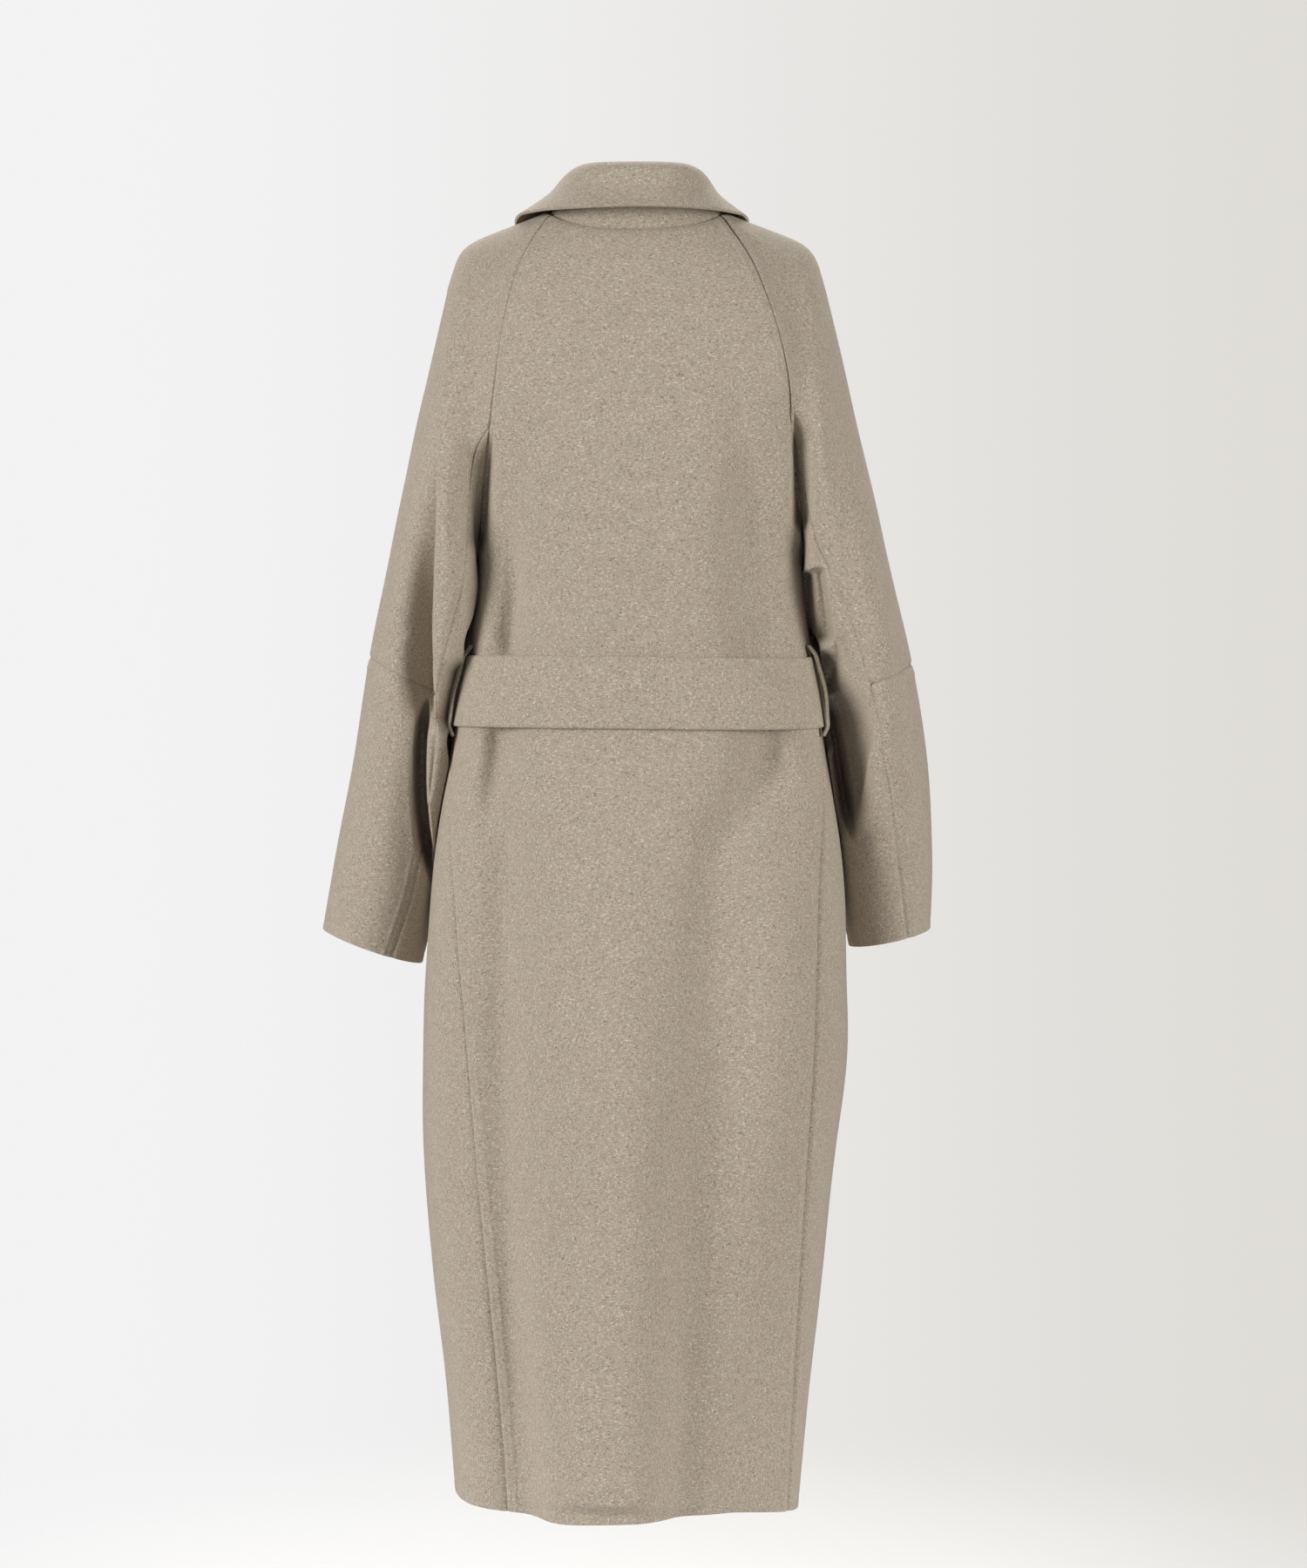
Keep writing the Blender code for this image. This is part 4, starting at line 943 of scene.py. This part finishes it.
def makeBelt():
    one = np.ones(1)
    reach = 2 - turnAt(belt["knotHalf"][0] * one, belt["level"] * one)[0]
    columns, rows = sharesOf(belt)
    turn, up = np.meshgrid(mix(columns, -reach, reach), rows * 2 - 1)
    often, slow = belt["rippleTurns"]
    ripple = belt["ripple"] * np.sin(turn * often + up) * np.cos(turn * slow)
    points = beltFace(turn, up, belt["wall"] + belt["bow"] * (1 - up**2) + ripple)
    points[..., 2] += belt["waver"] * np.sin(turn * belt["waverTurns"] + belt["waverStart"])
    layCloth(belt, *dressed(points, points * (1, 1, 0), belt["edges"]))


loops = {
    "width": 0.009,
    "thick": 0.0034,
    "half": 0.042,
    "gap": 0.0003,
    "overBelt": 0.0009,
    "stops": 41,
    "around": 17,
    "smooth": 5,
    "weld": 0.00005,
    "flat": (0.010, 0.094),
    "area": None,
    "held": "stretched",
    "restsOn": ["back", "belt"],
    "turns": {1: (0.81, 0.75), -1: (0.81, 0.77)},  # at the lower and the upper end
    "bow": {1: 0.003, -1: 0.004},
}
loopPath = table("past lift", [
    (-0.042, 0.00), (-0.0395, 0.25), (-0.036, 1.05), (-0.020, 1.00), (0.000, 1.00),
    (0.020, 1.00), (0.036, 1.05), (0.0395, 0.25), (0.042, 0.00),
])


def makeLoop(side):
    settings = {**loops, **sided("beltLoop", "belt_loop", side)}
    half, smooth = loops["half"], loops["smooth"]
    height = np.linspace(-half, half, loops["stops"])
    z = belt["level"] + height
    turn = side * mix(height / half / 2 + 0.5, *loops["turns"][side])
    lift = np.interp(height, loopPath["past"], loopPath["lift"])
    lift = np.convolve(np.pad(lift, smooth // 2, mode="edge"), np.ones(smooth) / smooth, mode="valid")
    out = loops["gap"] + loops["thick"] / 2 + lift * (belt["wall"] + belt["lift"] + loops["overBelt"])
    out = out + loops["bow"][side] * ease(half - np.abs(height), 0.0, half)
    middle = bodyPoint(turn, z, out, folds=False)
    ahead = unit(bodyPoint(turn + 0.01, z, out, folds=False) - middle)
    away = unit(np.cross(ahead, np.gradient(middle, axis=0)))
    away = away * np.sign(np.sum(away * middle * (1, 1, 0), -1, keepdims=True))
    angle = np.linspace(0, 2 * np.pi, loops["around"])
    points = (
        middle[:, None, :]
        + ahead[:, None, :] * (np.cos(angle) * loops["width"] / 2)[None, :, None]
        + away[:, None, :] * (np.sin(angle) * loops["thick"] / 2)[None, :, None]
    )
    bm = gridMesh(points)
    bmesh.ops.remove_doubles(bm, verts=bm.verts, dist=loops["weld"])
    bmesh.ops.holes_fill(bm, edges=[edge for edge in bm.edges if edge.is_boundary], sides=0)
    bmesh.ops.recalc_face_normals(bm, faces=bm.faces)
    handOver(newObject(settings["name"], bm), settings)


beltEnds = {
    1: {"length": 0.400, "bottomX": 0.052, "flat": (0.066, 0.40)},
    -1: {"length": 0.360, "bottomX": 0.046, "flat": (0.066, 0.36)},
}
beltEndShared = {
    "columns": 25,
    "rows": 111,
    "crowd": (0.3, 0.4),
    "wall": 0.0042,
    "area": 0.022,
    "held": "hung",
    "restsOn": ["belt_knot"],
    "edges": ("edge", "edge", "", "edge"),
    "topX": 0.0125,
    "topWidth": 0.022,
    "swing": (-0.2, 0.9),
    "openBy": 0.45,
    "lift": 0.0006,
    "gap": 0.0003,
    "standOff": 0.004,
    "standOffBy": 0.3,
    "gather": 0.0022,
    "gatherTurns": 7.5,
    "gatherStart": 0.5,
    "gatherRun": (0.02, 0.40),
    "gatherBy": 0.04,
    "sway": 0.0025,
    "swayTurns": 2.0,
}


def makeBeltEnd(side):
    settings = {**beltEndShared, **beltEnds[side], **sided("beltEnd", "belt_end", side)}
    columns, rows = sharesOf(settings)
    across, along = np.meshgrid(columns * 2 - 1, rows)
    z = belt["level"] - belt["knotHalf"][2] - settings["gap"] - along * settings["length"]
    openOut = ease(along, 0.0, settings["openBy"])
    middle = side * mix(ease(along, *settings["swing"]), settings["topX"], settings["bottomX"])
    x = middle + across * mix(openOut, settings["topWidth"], belt["width"]) / 2
    face = bodyPoint(np.copysign(2 - turnAt(np.abs(x), z), x), z, folds=False)
    gather = settings["gather"] * np.cos(across * settings["gatherTurns"] + settings["gatherStart"])
    gather = gather * (1 - ease(along, *settings["gatherRun"])) * ease(along, 0.0, settings["gatherBy"])
    sway = settings["sway"] * np.sin(across * settings["swayTurns"]) * openOut
    away = settings["standOff"] * ease(along, 0.0, settings["standOffBy"])
    lift = settings["wall"] + settings["lift"] + away + sway + gather
    points = np.stack([x, face[..., 1] - lift, z], -1)
    layCloth(settings, *dressed(points, np.array([0.0, -1.0, 0.0]), settings["edges"]))


knot = {
    "name": "beltKnot",
    "node": "belt_knot",
    "columns": 41,
    "rows": 101,
    "wall": 0.0040,
    "flat": (0.090, 0.19),
    "area": 0.0125,
    "held": "gathered",
    "restsOn": ["belt"],
    "edges": ("", "", "", ""),
    "power": 3.0,
    "tuck": 0.36,
    "tuckRound": 0.94,
    "tuckNarrow": 0.16,
    "round": 0.16,
    "lift": 0.001,
    "waist": 0.10,
    "waistPower": 1.5,
    "dentRun": (-0.2, 0.6),
}
knotCreases = table("at lean width depth", [
    (-0.50, 0.30, 0.16, 0.0024), (0.05, 0.38, 0.14, 0.0030), (0.55, 0.22, 0.15, 0.0022),
])


def makeKnot():  # the tie's wrap, a band that goes once round the belt with its sides tucked in
    halfX, halfY, halfZ = belt["knotHalf"]
    wide = np.linspace(-1 - knot["tuck"], 1 + knot["tuck"], knot["columns"])
    across, turn = np.meshgrid(np.clip(wide, -1, 1), np.linspace(0.0, 2 * np.pi, knot["rows"]))
    tucked = np.clip((np.abs(wide) - 1) / knot["tuck"], 0, 1)
    over, up = -np.cos(turn), np.sin(turn)
    reach = (np.abs(over) ** knot["power"] + np.abs(up) ** knot["power"]) ** (-1 / knot["power"])
    over, up = over * reach, up * reach
    rounded = (1 - knot["round"] * across**4) * (1 - knot["tuckRound"] * tucked)
    face = bodyPoint(np.array([2.0]), np.array([belt["level"]]), folds=False)[0]
    dent = np.zeros_like(across)
    for crease in rowsOf(knotCreases):
        offset = (across - crease["at"] - crease["lean"] * up) / crease["width"]
        dent += crease["depth"] * np.exp(-offset * offset)
    dent = dent * ease(-over, *knot["dentRun"]) * (1 - tucked)
    middle = np.array([0.0, face[1] - halfY - knot["lift"], belt["level"]])
    narrow = knot["waist"] * (1 - np.minimum(1.0, np.abs(up))) ** knot["waistPower"]
    narrow = narrow + knot["tuckNarrow"] * np.sin(tucked * np.pi / 2)
    y = middle[1] + over * halfY * rounded + dent
    points = np.stack([across * halfX * (1 - narrow), y, middle[2] + up * halfZ * rounded], -1)
    layCloth(knot, *dressed(points, points - middle, knot["edges"]))


makeBack()
for side in (1, -1):
    makeFront(side)
    for part in sleeves:
        makeSleeve(side, part)
makeCollar()
makeBelt()
for side in (1, -1):
    makeLoop(side)
    makeBeltEnd(side)
makeKnot()
print("coat pieces made")


# studio: pale floor with soft edges, pale surroundings with painted shade that is darker and warmer
# towards the right, soft light from both sides
studio = {
    "floorLevel": -1.46,
    "floorSize": 1.5,
    "floorSides": 96,
    "floorFade": 0.3,
    "floorRoughness": 0.9,
    "floorColour": (0.88, 0.88, 0.88),
    # painted shade on the surroundings: the right is darker and warmer, as if lit from the left
    "wallLitLeft": (0.890, 0.890, 0.895),
    "wallPaintedShadeRight": (0.735, 0.715, 0.680),
    "paintedShadeSpan": (-0.20, 0.14),
    "glow": 0.18,
    "metresPerPixel": 0.00082,
    "horizon": 640.24,
    "shiftPixels": 20,
    "imageSize": (1500, 1800),
}
lamps = {  # place, height of the aim, size, watts, colour
    "key": ((3.3, 2.3, 0.2), -0.72, 1.9, 136, (1.0, 0.99, 0.97)),
    "fill": ((-3.3, 2.1, -0.1), -0.72, 2.2, 106, (1.0, 0.98, 0.95)),
    "top": ((0.3, 1.2, 2.4), -0.4, 2.4, 8, (1.0, 0.99, 0.98)),
    "front": ((0.0, -2.7, 2.3), -0.6, 2.6, 150, (1.0, 0.99, 0.97)),
}


def makeFloor():
    bm = bmesh.new()
    size = studio["floorSize"]
    bmesh.ops.create_circle(bm, cap_ends=True, radius=size, segments=studio["floorSides"])
    bmesh.ops.translate(bm, verts=bm.verts, vec=(0.0, 0.0, studio["floorLevel"]))
    floor = newObject("floor", bm)
    material = bpy.data.materials.new("paleFloor")
    material.use_nodes = True
    nodes, links = material.node_tree.nodes, material.node_tree.links
    shader = nodes["Principled BSDF"]
    shader.inputs["Base Color"].default_value = (*studio["floorColour"], 1.0)
    shader.inputs["Roughness"].default_value = studio["floorRoughness"]
    place = nodes.new("ShaderNodeTexCoord")
    flat = nodes.new("ShaderNodeVectorMath")
    flat.operation = "MULTIPLY"
    flat.inputs[1].default_value = (1.0, 1.0, 0.0)
    links.new(place.outputs["Object"], flat.inputs[0])
    length = nodes.new("ShaderNodeVectorMath")
    length.operation = "LENGTH"
    links.new(flat.outputs["Vector"], length.inputs[0])
    fade = ranged(nodes, links, length.outputs["Value"], (studio["floorFade"], size), (1.0, 0.0))
    links.new(fade, shader.inputs["Alpha"])
    floor.data.materials.append(material)


def makeSurroundings():
    world = bpy.data.worlds.new("paleStudio")
    bpy.context.scene.world = world
    world.use_nodes = True
    nodes, links = world.node_tree.nodes, world.node_tree.links
    background = nodes["Background"]
    place = nodes.new("ShaderNodeTexCoord")
    split = nodes.new("ShaderNodeSeparateXYZ")
    links.new(place.outputs["Generated"], split.inputs["Vector"])
    # the camera sees the surroundings with painted shade, darker and warmer towards the right; other rays
    # see them dimmed to the glow
    share = ranged(nodes, links, split.outputs["X"], studio["paintedShadeSpan"])
    colour = nodes.new("ShaderNodeMix")
    colour.data_type = "RGBA"
    colour.inputs["A"].default_value = (*studio["wallPaintedShadeRight"], 1.0)
    colour.inputs["B"].default_value = (*studio["wallLitLeft"], 1.0)
    links.new(share, colour.inputs["Factor"])
    links.new(colour.outputs["Result"], background.inputs["Color"])
    path = nodes.new("ShaderNodeLightPath")
    seen = path.outputs["Is Camera Ray"]
    strength = ranged(nodes, links, seen, (0.0, 1.0), (studio["glow"], 1.0), "LINEAR")
    links.new(strength, background.inputs["Strength"])


def makeLamps():
    for name, (place, aim, size, watts, colour) in lamps.items():
        data = bpy.data.lights.new(name, "AREA")
        data.shape = "DISK"
        data.size = size
        data.energy = watts
        data.color = colour
        made = bpy.data.objects.new(name, data)
        made.location = place
        made.rotation_euler = (Vector((0.0, 0.0, aim)) - Vector(place)).to_track_quat("-Z", "Y").to_euler()
        bpy.context.scene.collection.objects.link(made)


def makeCamera():
    width, height = studio["imageSize"]
    data = bpy.data.cameras.new("backView")
    data.sensor_fit = "VERTICAL"
    data.sensor_height = 36.0
    data.lens = data.sensor_height * viewPoint["distance"] / (height * studio["metresPerPixel"])
    data.shift_x = studio["shiftPixels"] / height
    data.shift_y = -(height / 2 - studio["horizon"]) / height
    camera = bpy.data.objects.new("backView", data)
    camera.location = (0.0, viewPoint["distance"], viewPoint["level"])
    camera.rotation_euler = (math.radians(90), 0.0, math.radians(180))
    bpy.context.scene.collection.objects.link(camera)
    bpy.context.scene.camera = camera


makeFloor()
makeSurroundings()
makeLamps()
makeCamera()
bpy.context.scene.view_settings.view_transform = "Standard"
print("studio and camera made")
